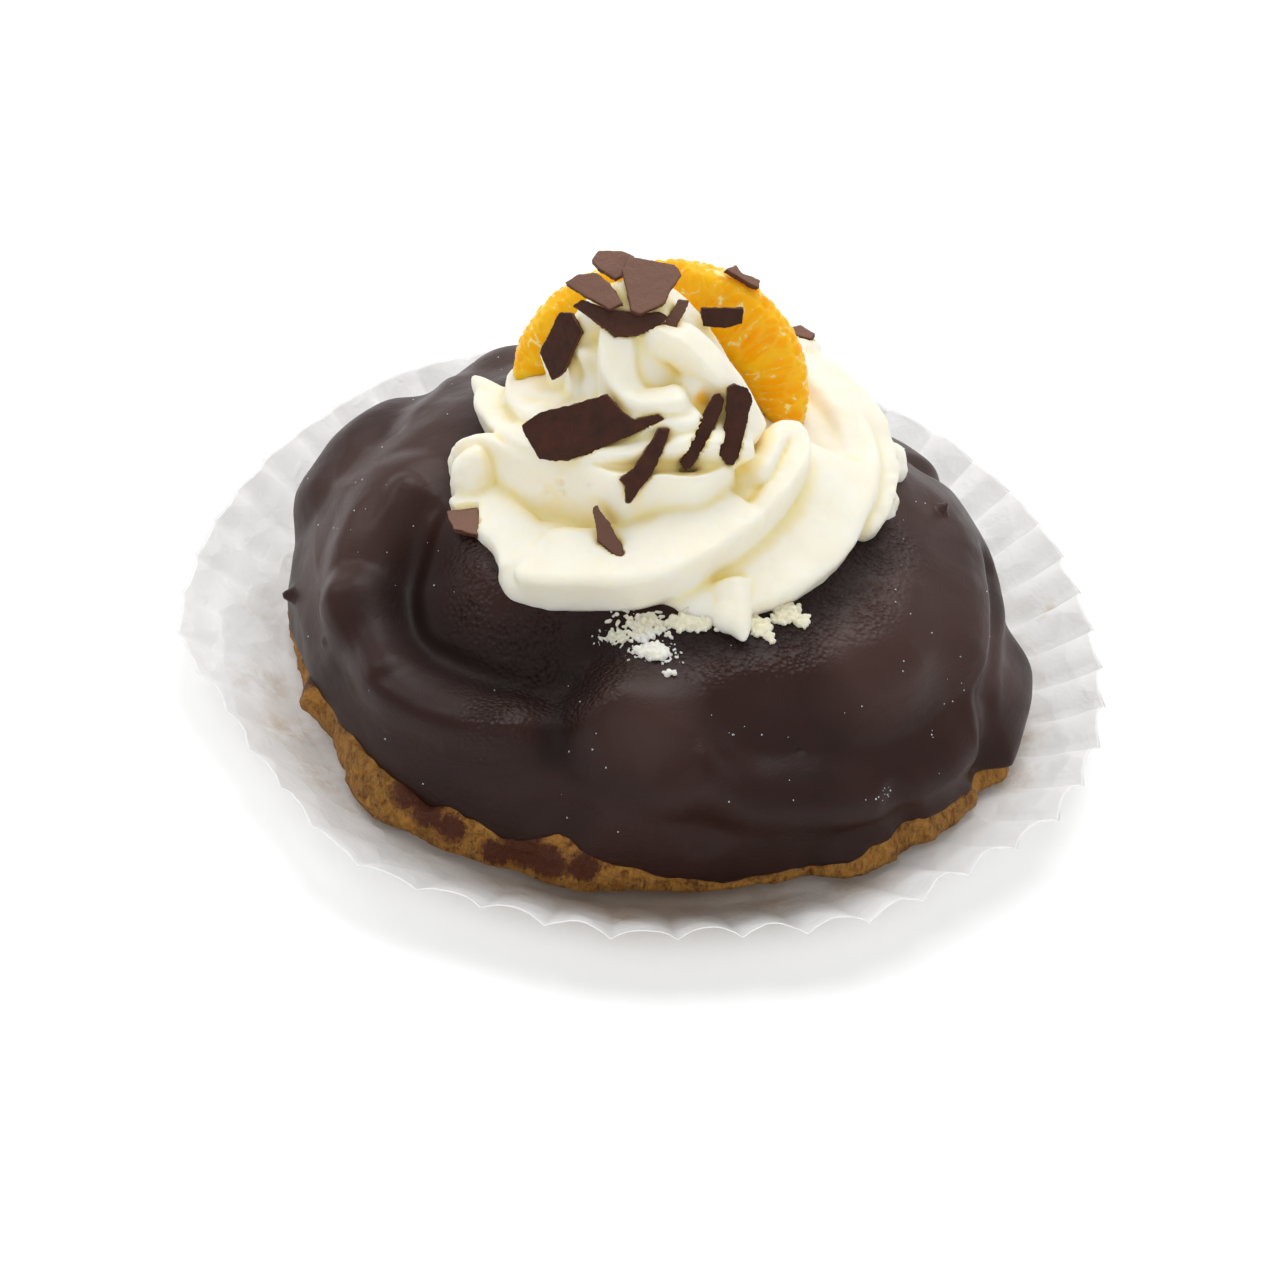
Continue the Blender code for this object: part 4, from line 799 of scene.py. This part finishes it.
def cream_whirl():
    """The whirl as one skin over overlapping arms, with the grain of whipped cream and its hollows
    marked for the material."""
    bodies = [cream_core()]
    for *section, path in ARMS:
        bodies.append(tube(polar(*smooth_path(path, PATH_FINENESS).T), *section))
    for *section, path in RIDGES:
        bodies.append(tube(smooth_path(path, PATH_FINENESS), *section))
    bodies += [flick(*values) for values in FLICKS]
    bodies += [ball(middle, sizes, LUMP_SUBDIVISIONS) for middle, sizes in LUMPS]
    mesh = remeshed(bodies, CREAM_GRAIN, 2)
    mark_hollows(mesh)
    points = pressed_under_shards(coordinates(mesh))
    move_points(mesh, points)
    torn = smoothstep(*TORN_LEFT, -points[:, 0]) * smoothstep(*TORN_FRONT, -points[:, 1])
    torn += smoothstep(*TORN_RIGHT, points[:, 0])
    push = ripples(points, CREAM_RIPPLES) + torn * ripples(points, TORN_RIPPLES)
    for azimuth, height, radius in BUBBLES:
        push -= bubble_depth(points, azimuth, height, radius)
    push_out(mesh, push)
    mark_shelter(mesh)
    from_juice = np.linalg.norm((coordinates(mesh) - JUICE_PLACE) / JUICE_REACH, axis=1)
    set_attribute(mesh, "juice", smoothstep(0.0, 0.5, falloff(from_juice, 1.0)))
    return mesh


def bubble_depth(points, azimuth, height, radius):
    """Depth of an opened bubble on the outermost cream at an azimuth and a height."""
    out = polar(azimuth, 1, 0)
    outward = points @ out
    near = np.hypot(points @ np.cross(UP, out), points[:, 2] - height)
    found = near[outward > 0].argsort()[:BUBBLE_NEIGHBOURS]
    surface = outward[outward > 0][found].max()
    return BUBBLE_DEPTH * radius * falloff(np.hypot(near, outward - surface), BUBBLE_REACH * radius)


def spread_out(mesh, values, steps):
    """Rows of values, one for each point, evened out with those of their neighbours."""
    edges = np.empty(len(mesh.edges) * 2, np.int32)
    mesh.edges.foreach_get("vertices", edges)
    edges = edges.reshape(-1, 2)
    count = np.bincount(edges.ravel(), minlength=len(values))[:, None]
    mean = values.copy()
    for _ in range(steps):
        total = np.zeros_like(mean)
        np.add.at(total, edges[:, 0], mean[edges[:, 1]])
        np.add.at(total, edges[:, 1], mean[edges[:, 0]])
        mean = 0.5 * mean + 0.5 * total / count
    return mean


def mark_hollows(mesh):
    """Marks how far each point lies below the mean of its surroundings."""
    points = coordinates(mesh)
    depth = ((spread_out(mesh, points, HOLLOW_STEPS) - points) * vertex_normals(mesh)).sum(axis=1)
    # The material paints this as shade in the creases
    set_attribute(mesh, "hollow_shade", np.clip(depth / HOLLOW_DEPTH, -1, 1))


def mark_shelter(mesh):
    """Marks how much of the sky is hidden at each point of the cream, by itself and by the shards."""
    rng = np.random.default_rng(5)
    spread = unit(rng.normal(size=(SHELTER_RAYS, 3)))
    trees = (search_tree([mesh]), search_tree(map(solid, shard_names())))
    normals = vertex_normals(mesh)
    starts = (coordinates(mesh) + normals * SHELTER_START).tolist()
    hidden = np.zeros((len(starts), 1))
    for turn in spread:
        ways = unit(normals + SHELTER_SPREAD * turn + SHELTER_LEAN * UP).tolist()
        for i, (start, way) in enumerate(zip(starts, ways)):
            hidden[i] += any(tree.ray_cast(start, way, SHELTER_REACH)[0] is not None for tree in trees)
    # The material paints the hidden share as shade
    set_attribute(mesh, "sheltered_shade", spread_out(mesh, hidden / SHELTER_RAYS, SHELTER_STEPS)[:, 0])


def shard_facing(mesh):
    """The middle of a flat piece and the way that its upper face looks."""
    points = coordinates(mesh)
    middle = points.mean(axis=0)
    _, axes = np.linalg.eigh(np.cov((points - middle).T))
    facing = axes[:, 0]
    return middle, facing if facing[2] > 0 else -facing


def pressed_under_shards(points):
    """Points of the cream, with those that would cover a shard pressed down below it."""
    for shard in map(solid, shard_names()):
        middle, facing = shard_facing(shard)
        size = np.linalg.norm(coordinates(shard) - middle, axis=1).max()
        tree = search_tree([shard])
        down = Vector(-facing)
        for i in np.nonzero(np.linalg.norm(points - middle, axis=1) < size + COVER_MARGIN)[0]:
            above = Vector(points[i] + facing * COVER_START)
            upper = tree.ray_cast(above, down)[0]
            if upper is None:
                continue
            lower = tree.ray_cast(upper + down * COVER_STEP, down)[0]
            if lower is None:
                continue
            low = (lower - above).length + SHARD_CLEARANCE
            if (upper - above).length - COVER_REACH < COVER_START < low:
                points[i] -= facing * (low - COVER_START)
    return points


def mandarin_segment(name):
    """A crescent with bulging pulp: a round-backed wedge swept along an arc, pointed at both ends."""
    first, last, thickness, breadth = MANDARINS[name]
    upward = np.array([0, math.sin(MANDARIN_LEAN), math.cos(MANDARIN_LEAN)])
    level = np.array([1.0, 0, 0])
    angles = np.radians(azimuths(MANDARIN_SIDES))
    bulge = np.sin(angles) * (1 - BACK_FULLNESS + BACK_FULLNESS * np.cos(angles))
    centres = []
    rings = []
    pulp = []
    for share in np.linspace(0, 1, MANDARIN_STEPS + 1):
        fullness = max(0.0, math.sin(math.pi * share)) ** END_ROUNDNESS
        turn = math.radians(first + (last - first) * share)
        out = level * math.cos(turn) + upward * math.sin(turn)
        inset = breadth / 2 * (END_BREADTH + (1 - END_BREADTH) * fullness)
        across = breadth / 2 * fullness * np.cos(angles)
        aside = thickness / 2 * fullness * bulge
        centres.append(MANDARIN_MIDDLE + out * (MANDARIN_RADIUS - inset))
        rings.append(centres[-1] + across[:, None] * out + aside[:, None] * np.cross(level, upward))
        pulp.append(np.stack([0 * across + turn * MANDARIN_RADIUS, across, aside], axis=-1))
    mesh = closed_body(rings[1:-1], centres[0], centres[-1])
    swell = pulp_swell(np.vstack([*pulp[1:-1], np.zeros((2, 3))]))
    push_out(mesh, SAC_DEPTH * (swell - 0.5) + ripples(coordinates(mesh), MANDARIN_RIPPLES))
    set_attribute(mesh, "swell", swell)
    return mesh


def pulp_swell(places):
    """Long juice sacs side by side: 1 on the middle of a sac, 0 between two."""
    warped = places / SAC_SIZES
    for axis, wave in enumerate(SAC_WAVES):
        warped[:, axis] += ripples(places, [wave])
    nearest = np.array([noise.voronoi(spot)[0] for spot in warped.tolist()])
    return smoothstep(0.0, SAC_EDGE, nearest[:, 1] - nearest[:, 0])


def broken_chocolate(name):
    """A shard from its solid, with a rough broken rim and slightly uneven faces."""
    shape = shape_of([solid(name)])
    bmesh.ops.remove_doubles(shape, verts=shape.verts, dist=1e-6)
    mesh = remeshed([mesh_from(shape)], SHARD_GRAIN, 2)
    points = coordinates(mesh)
    _, facing = shard_facing(mesh)
    rim = smoothstep(*SHARD_RIM, 1 - np.abs(vertex_normals(mesh) @ facing))
    seed = sum(map(ord, name)) % SHARD_SEEDS
    rough = rim * ripples(points, SHARD_RIM_RIPPLES, seed)
    push_out(mesh, ripples(points, SHARD_FACE_RIPPLES, seed) + rough)
    set_attribute(mesh, "rim", rim)
    # Painted sheen: shards whose flat side looks up are paler all over
    set_attribute(mesh, "bloom_and_sheen", np.full(len(points), smoothstep(*SHARD_PAINTED_SHEEN, facing[2])))
    return mesh


def bead(middle, radius, stretch, rng):
    """A small ellipsoid that lies any way round."""
    turn = Vector(rng.normal(size=3)).to_track_quat("Z", "X").to_matrix()
    return ball(middle, (radius, radius, radius * stretch), BEAD_SUBDIVISIONS, np.array(turn))


def beside(azimuth, rise, offsets):
    """Azimuths and rises at some offsets along the glaze from a spot."""
    return azimuth + np.degrees(offsets[:, 0] / CRUMB_RADIUS), rise + offsets[:, 1] / CRUMB_SLOPE


def mark_plain(mesh, sheltered_shade):
    """Marks cream with no hollows and no juice."""
    for name, value in (("hollow_shade", 0), ("juice", 0), ("sheltered_shade", sheltered_shade)):
        set_attribute(mesh, name, np.zeros(len(mesh.vertices)) + value)


def cream_crumbs():
    """Torn and powdery crumbs of cream on the glaze, in front of the whirl."""
    rng = np.random.default_rng(12)
    patches = []
    for azimuth, rise, reach_around, reach_up, radius, count in CRUMBS:
        step = np.clip(rng.normal(size=(count, 2)) * CRUMB_SPREAD, -CRUMB_LIMIT, CRUMB_LIMIT)
        around, rises = beside(azimuth, rise, step * (reach_around, reach_up))
        patches.append((around, rises, radius * rng.uniform(*CRUMB_SIZES, count)))
    around, rises, sizes = (np.concatenate(v) for v in zip(*patches))
    beads = []
    for spot, facing, size in zip(glazed_point(around, rises), dome_normals(around, rises), sizes):
        middle = spot + facing * size * rng.uniform(*CRUMB_LIFT)
        beads.append(bead(middle, size, rng.uniform(*CRUMB_STRETCH), rng))
    mesh = remeshed(beads, CRUMB_GRAIN, 1)
    push_out(mesh, ripples(coordinates(mesh), CRUMB_RIPPLES))
    powder = near_spots(coordinates(mesh), POWDER).max(axis=0)
    # Painted shade on the crumbs, less where they are powdery
    mark_plain(mesh, CRUMB_PAINTED_SHADE * (1 - smoothstep(0.0, POWDER_FULL, powder)))
    return mesh


def dust_specks():
    """Tiny white specks scattered over the glaze, with a few clusters."""
    rng = np.random.default_rng(31)
    patches = [(rng.uniform(-180, 180, SPECK_COUNT), rng.uniform(*SPECK_RISES, SPECK_COUNT))]
    for azimuth, rise, reach, count in SPECK_CLUSTERS:
        patches.append(beside(azimuth, rise, rng.normal(size=(count, 2)) * reach))
    around, rises = (np.concatenate(v) for v in zip(*patches))
    beads = [bead(spot, rng.uniform(*SPECK_RADII), 1.0, rng) for spot in glazed_point(around, rises)]
    mesh = mesh_from(shape_of(beads))
    mark_plain(mesh, 0)
    return mesh


class Nodes:
    """Short calls for the nodes of a material or a world, with sizes in millimetres."""

    def __init__(self, owner):
        owner.use_nodes = True
        self.owner = owner
        self.tree = owner.node_tree

    def put(self, socket, value):
        if isinstance(value, bpy.types.NodeSocket):
            self.tree.links.new(value, socket)
        elif isinstance(value, tuple):
            socket.default_value = (*value, 1.0)[:len(socket.default_value)]
        else:
            socket.default_value = value

    def connect(self, made, **inputs):
        """Fills inputs of a node, by the names of its sockets."""
        for key, value in inputs.items():
            self.put(made.inputs[key.replace("_", " ")], value)
        return made

    def finish(self, **inputs):
        """Fills inputs of the material's shader and gives the material."""
        self.connect(self.tree.nodes["Principled BSDF"], **inputs)
        return self.owner

    def add(self, kind, settings=None, **inputs):
        made = self.tree.nodes.new("ShaderNode" + kind)
        for key, value in (settings or {}).items():
            setattr(made, key, value)
        return self.connect(made, **inputs)

    def places(self, stretch=(1, 1, 1)):
        """The object's own coordinates, stretched."""
        source = self.add("TexCoord").outputs["Object"]
        return self.add("Mapping", Vector=source, Scale=stretch).outputs["Vector"]

    def noise(self, size, detail=3.0, roughness=0.5, stretch=(1, 1, 1), distortion=0.0):
        made = self.add("TexNoise", Vector=self.places(stretch), Scale=1 / (MM * size), Detail=detail,
                        Roughness=roughness, Distortion=distortion)
        return made.outputs["Fac"]

    def cells(self, size):
        return self.add("TexVoronoi", Vector=self.places(), Scale=1 / (MM * size)).outputs["Distance"]

    def attribute(self, name):
        return self.add("Attribute", {"attribute_name": name}).outputs["Fac"]

    def ramp(self, value, low, high, start=0.0, end=1.0):
        """A value taken from low..high to start..end, kept inside it."""
        made = self.add("MapRange", Value=value, From_Min=low, From_Max=high, To_Min=start, To_Max=end)
        return made.outputs["Result"]

    def vary(self, value, start=0.0, end=1.0):
        """A noise's values taken to start..end."""
        return self.ramp(value, *NOISE_RANGE, start, end)

    def maths(self, operation, first, second):
        made = self.add("Math", {"operation": operation})
        self.put(made.inputs[0], first)
        self.put(made.inputs[1], second)
        return made.outputs["Value"]

    def times(self, first, second):
        return self.maths("MULTIPLY", first, second)

    def mix(self, share, *colours):
        """The first colour turned into the second by a share."""
        made = self.add("Mix", {"data_type": "RGBA"}, Factor=share)
        for index, colour in zip(MIX_INPUTS, colours):
            self.put(made.inputs[index], colour)
        return made.outputs[MIX_OUTPUT]

    def bumps(self, *layers):
        """Bumps over each other, each with its height, distance and strength."""
        normal = None
        for height, distance, strength in layers:
            made = self.add("Bump", Height=height, Distance=MM * distance, Strength=strength)
            if normal is not None:
                self.put(made.inputs["Normal"], normal)
            normal = made.outputs["Normal"]
        return normal


def material(name):
    return Nodes(bpy.data.materials.new(name))


def paper_material():
    paper = material("greaseproof paper")
    blotches = paper.ramp(paper.noise(4, 5.0, 0.65), 0.38, 0.62)
    colour = paper.mix(paper.noise(12), (0.955, 0.950, 0.940), (0.985, 0.980, 0.970))
    # Brown grease stains, and painted shade along the front of the bun's foot
    colour = paper.mix(paper.times(paper.attribute("grease_and_shade"), blotches), colour, (0.58, 0.44, 0.30))
    # Darker at the front with painted shade under the bun's foot
    return paper.finish(
        Base_Color=paper.mix(paper.attribute("painted_foot_shade"), colour, (0.34, 0.27, 0.22)),
        Roughness=paper.vary(paper.noise(6), 0.38, 0.55),
        Subsurface_Weight=0.35, Subsurface_Radius=(1.0, 0.95, 0.9), Subsurface_Scale=0.8 * MM,
        Normal=paper.bumps(
            (paper.cells(6), 0.7, 0.7),
            (paper.noise(2.8, distortion=0.6), 0.35, 0.6),
            (paper.noise(0.7, 4.0, 0.6), 0.1, 0.5)))


def crust_material():
    crust = material("choux crust")
    mottle = crust.noise(2.6, 5.0, 0.68, distortion=0.8)
    fine = crust.noise(0.7, 4.0, 0.7, stretch=(1, 1, 0.4), distortion=0.8)
    golden = crust.mix(crust.ramp(mottle, 0.38, 0.62), (0.100, 0.028, 0.0042), (0.37, 0.160, 0.025))
    golden = crust.mix(crust.ramp(fine, 0.38, 0.70, 0.0, 0.6), golden, (0.55, 0.30, 0.075))
    ragged = crust.maths("ADD", crust.attribute("smear"), crust.vary(fine, -0.30, 0.30))
    smear = crust.ramp(ragged, 0.30, 0.62)
    return crust.finish(
        Base_Color=crust.mix(smear, golden, (0.080, 0.0195, 0.0062)),
        Roughness=crust.ramp(smear, 0, 1, 0.62, 0.42), Specular_IOR_Level=0.22,
        Subsurface_Weight=0.08, Subsurface_Scale=MM,
        Normal=crust.bumps((mottle, 0.8, 0.8), (fine, 0.35, 0.9)))


def glaze_material():
    glaze = material("chocolate glaze")
    painted_shade = glaze.attribute("painted_shade")
    broad = glaze.ramp(glaze.noise(18), 0.35, 0.65)
    colour = glaze.mix(broad, (0.0190, 0.0060, 0.0041), (0.0300, 0.0096, 0.0067))
    # Paler patches: a dull bloom, and painted sheen where the glaze catches light
    colour = glaze.mix(glaze.times(glaze.attribute("bloom_and_sheen"), 0.8), colour, (0.060, 0.029, 0.0235))
    patchy = glaze.noise(7, 4.0, 0.6)
    grain = glaze.times(glaze.attribute("grain"), glaze.ramp(patchy, 0.3, 0.6))
    peel = glaze.times(glaze.ramp(glaze.cells(0.85), 0.0, 0.7), grain)
    streaks = glaze.noise(2.2, 4.0, 0.6, stretch=(1, 1, 3.5), distortion=0.8)
    # Painted shade darkens the colour along the shade paths, which are also rougher
    return glaze.finish(
        Base_Color=glaze.mix(glaze.times(painted_shade, 0.72), colour, (0.0060, 0.0020, 0.0014)),
        Roughness=glaze.maths("ADD", glaze.vary(patchy, 0.34, 0.46), glaze.times(painted_shade, 0.20)),
        Specular_IOR_Level=0.20,
        Normal=glaze.bumps((streaks, 0.22, 0.30), (peel, 0.6, 0.80), (glaze.noise(0.4, 2.0), 0.03, 0.5)))


def cream_material():
    cream = material("whipped cream")
    cloudy = cream.noise(8)
    sheltered_shade = cream.attribute("sheltered_shade")
    colour = cream.mix(cream.vary(cloudy), (0.915, 0.862, 0.71), (0.938, 0.902, 0.79))
    # Painted shade: the cream turns yellow, then darker, where it and the shards hide the sky
    colour = cream.mix(cream.ramp(sheltered_shade, 0.06, 0.50), colour, (0.90, 0.75, 0.36))
    colour = cream.mix(cream.ramp(sheltered_shade, 0.52, 0.90, 0.0, 0.75), colour, (0.60, 0.43, 0.17))
    colour = cream.mix(cream.attribute("juice"), colour, (1.0, 0.52, 0.03))
    # Painted shade in creases: deep yellow where a point lies below its surroundings
    hollow_shade = cream.ramp(cream.attribute("hollow_shade"), 0.05, 0.62, 0.0, 0.80)
    return cream.finish(
        Base_Color=cream.mix(hollow_shade, colour, (0.96, 0.80, 0.25)),
        Roughness=cream.vary(cloudy, 0.42, 0.55), Specular_IOR_Level=0.35,
        Subsurface_Weight=0.6, Subsurface_Radius=(1.0, 0.85, 0.5), Subsurface_Scale=2.5 * MM,
        Normal=cream.bumps((cream.noise(1.2, 4.0, 0.6), 0.12, 0.5)))


def mandarin_material():
    pulp = material("mandarin pulp")
    cloudy = pulp.noise(5)
    swell = pulp.attribute("swell")
    colour = pulp.mix(pulp.vary(cloudy), (0.97, 0.37, 0.0), (1.0, 0.49, 0.0))
    colour = pulp.mix(pulp.ramp(swell, 0.0, 1.0, 0.6, 0.0), colour, (1.0, 0.64, 0.03))
    # Pale shreds of pith, and painted glints along the edges of the sacs
    shreds_and_glints = pulp.ramp(pulp.noise(2.1, 4.0, 0.6, distortion=0.6), 0.56, 0.64)
    shreds_and_glints = pulp.times(pulp.ramp(swell, 0.05, 0.45, 0.9, 0.0), shreds_and_glints)
    return pulp.finish(
        Base_Color=pulp.mix(shreds_and_glints, colour, (1.0, 0.84, 0.42)),
        Roughness=pulp.vary(cloudy, 0.22, 0.34), Specular_IOR_Level=0.12,
        Subsurface_Weight=0.85, Subsurface_Radius=(1.0, 0.42, 0.06), Subsurface_Scale=4 * MM,
        Normal=pulp.bumps((pulp.noise(1, 4.0, 0.6), 0.14, 0.5)))


def shard_material():
    shard = material("broken chocolate")
    cloudy = shard.noise(2.5, 5.0, 0.65)
    colour = shard.mix(shard.vary(cloudy), (0.031, 0.0078, 0.0031), (0.064, 0.0180, 0.0078))
    # Painted sheen: paler on shards whose flat side looks up
    colour = shard.mix(shard.attribute("bloom_and_sheen"), colour, (0.215, 0.110, 0.078))
    return shard.finish(
        Base_Color=shard.mix(shard.attribute("rim"), colour, (0.100, 0.037, 0.021)),
        Roughness=shard.vary(cloudy, 0.42, 0.58), Specular_IOR_Level=0.22,
        Normal=shard.bumps((shard.noise(1, 5.0, 0.65), 0.30, 0.75)))


def floor_material():
    return material("pale floor").finish(
        Base_Color=(0.93, 0.93, 0.93), Roughness=0.9, Specular_IOR_Level=0.1,
        Emission_Color=(1.0, 1.0, 1.0), Emission_Strength=FLOOR_GLOW)


def make_floor():
    shape = bmesh.new()
    bmesh.ops.create_grid(shape, x_segments=1, y_segments=1, size=MM * FLOOR_SIDE / 2)
    floor = in_scene("floor", mesh_from(shape))
    floor.data.materials.append(floor_material())


def make_camera():
    data = bpy.data.cameras.new("camera")
    data.lens = CAMERA_LENS
    data.sensor_width = CAMERA_SENSOR
    data.shift_x = CAMERA_SHIFT[0] / PICTURE_SIDE
    data.shift_y = CAMERA_SHIFT[1] / PICTURE_SIDE
    camera = in_scene("camera", data)
    turn = Matrix.Rotation(math.pi / 2 - CAMERA_ELEVATION, 4, "X") @ Matrix.Rotation(CAMERA_ROLL, 4, "Z")
    camera.matrix_world = turn @ Matrix.Translation((0, 0, MM * CAMERA_DISTANCE))
    bpy.context.scene.camera = camera


def area_light(name, place, side, power):
    data = bpy.data.lights.new(name, "AREA")
    data.shape = "DISK"
    data.size = MM * side
    data.energy = power
    light = in_scene(name, data)
    light.location = MM * Vector(place)
    light.rotation_mode = "QUATERNION"
    light.rotation_quaternion = Vector(place).to_track_quat("Z", "Y")


def make_light():
    sky = Nodes(bpy.data.worlds.new("studio"))
    height = sky.add("SeparateXYZ", Vector=sky.add("TexCoord").outputs["Generated"]).outputs["Z"]
    strength = sky.ramp(height, 0.0, SKY_TOP_HEIGHT, SKY_HORIZON, SKY_TOP)
    sky.connect(sky.tree.nodes["Background"], Color=(1.0, 1.0, 1.0), Strength=strength)
    bpy.context.scene.world = sky.owner
    for name, light in LIGHTS.items():
        area_light(name, *light)
    bpy.context.scene.view_settings.view_transform = "Standard"


def make_pieces():
    add_piece("pleated_paper", pleated_paper(), paper_material(), ["paper_case"])
    add_piece("bun_crust", bun_crust(), crust_material(), ["choux_bun"])
    add_piece("glaze_skin", glaze_skin(), glaze_material(), ["chocolate_glaze"])
    cream = cream_material()
    add_piece("cream_whirl", cream_whirl(), cream, ["whipped_cream"])
    add_piece("cream_crumbs", cream_crumbs(), cream, [])
    add_piece("dust_specks", dust_specks(), cream, [])
    fruit = mandarin_material()
    for name in MANDARINS:
        add_piece(name + "_pulp", mandarin_segment(name), fruit, [name])
    chocolate = shard_material()
    for name in shard_names():
        add_piece(name.replace("shard", "broken"), broken_chocolate(name), chocolate, [name])


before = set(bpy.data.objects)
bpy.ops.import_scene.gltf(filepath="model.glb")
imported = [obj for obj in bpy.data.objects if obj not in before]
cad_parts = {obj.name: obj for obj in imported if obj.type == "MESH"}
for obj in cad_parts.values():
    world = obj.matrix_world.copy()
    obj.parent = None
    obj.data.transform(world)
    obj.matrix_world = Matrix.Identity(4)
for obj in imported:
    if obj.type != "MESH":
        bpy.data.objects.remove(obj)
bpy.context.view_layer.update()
make_camera()
make_light()
make_floor()
make_pieces()
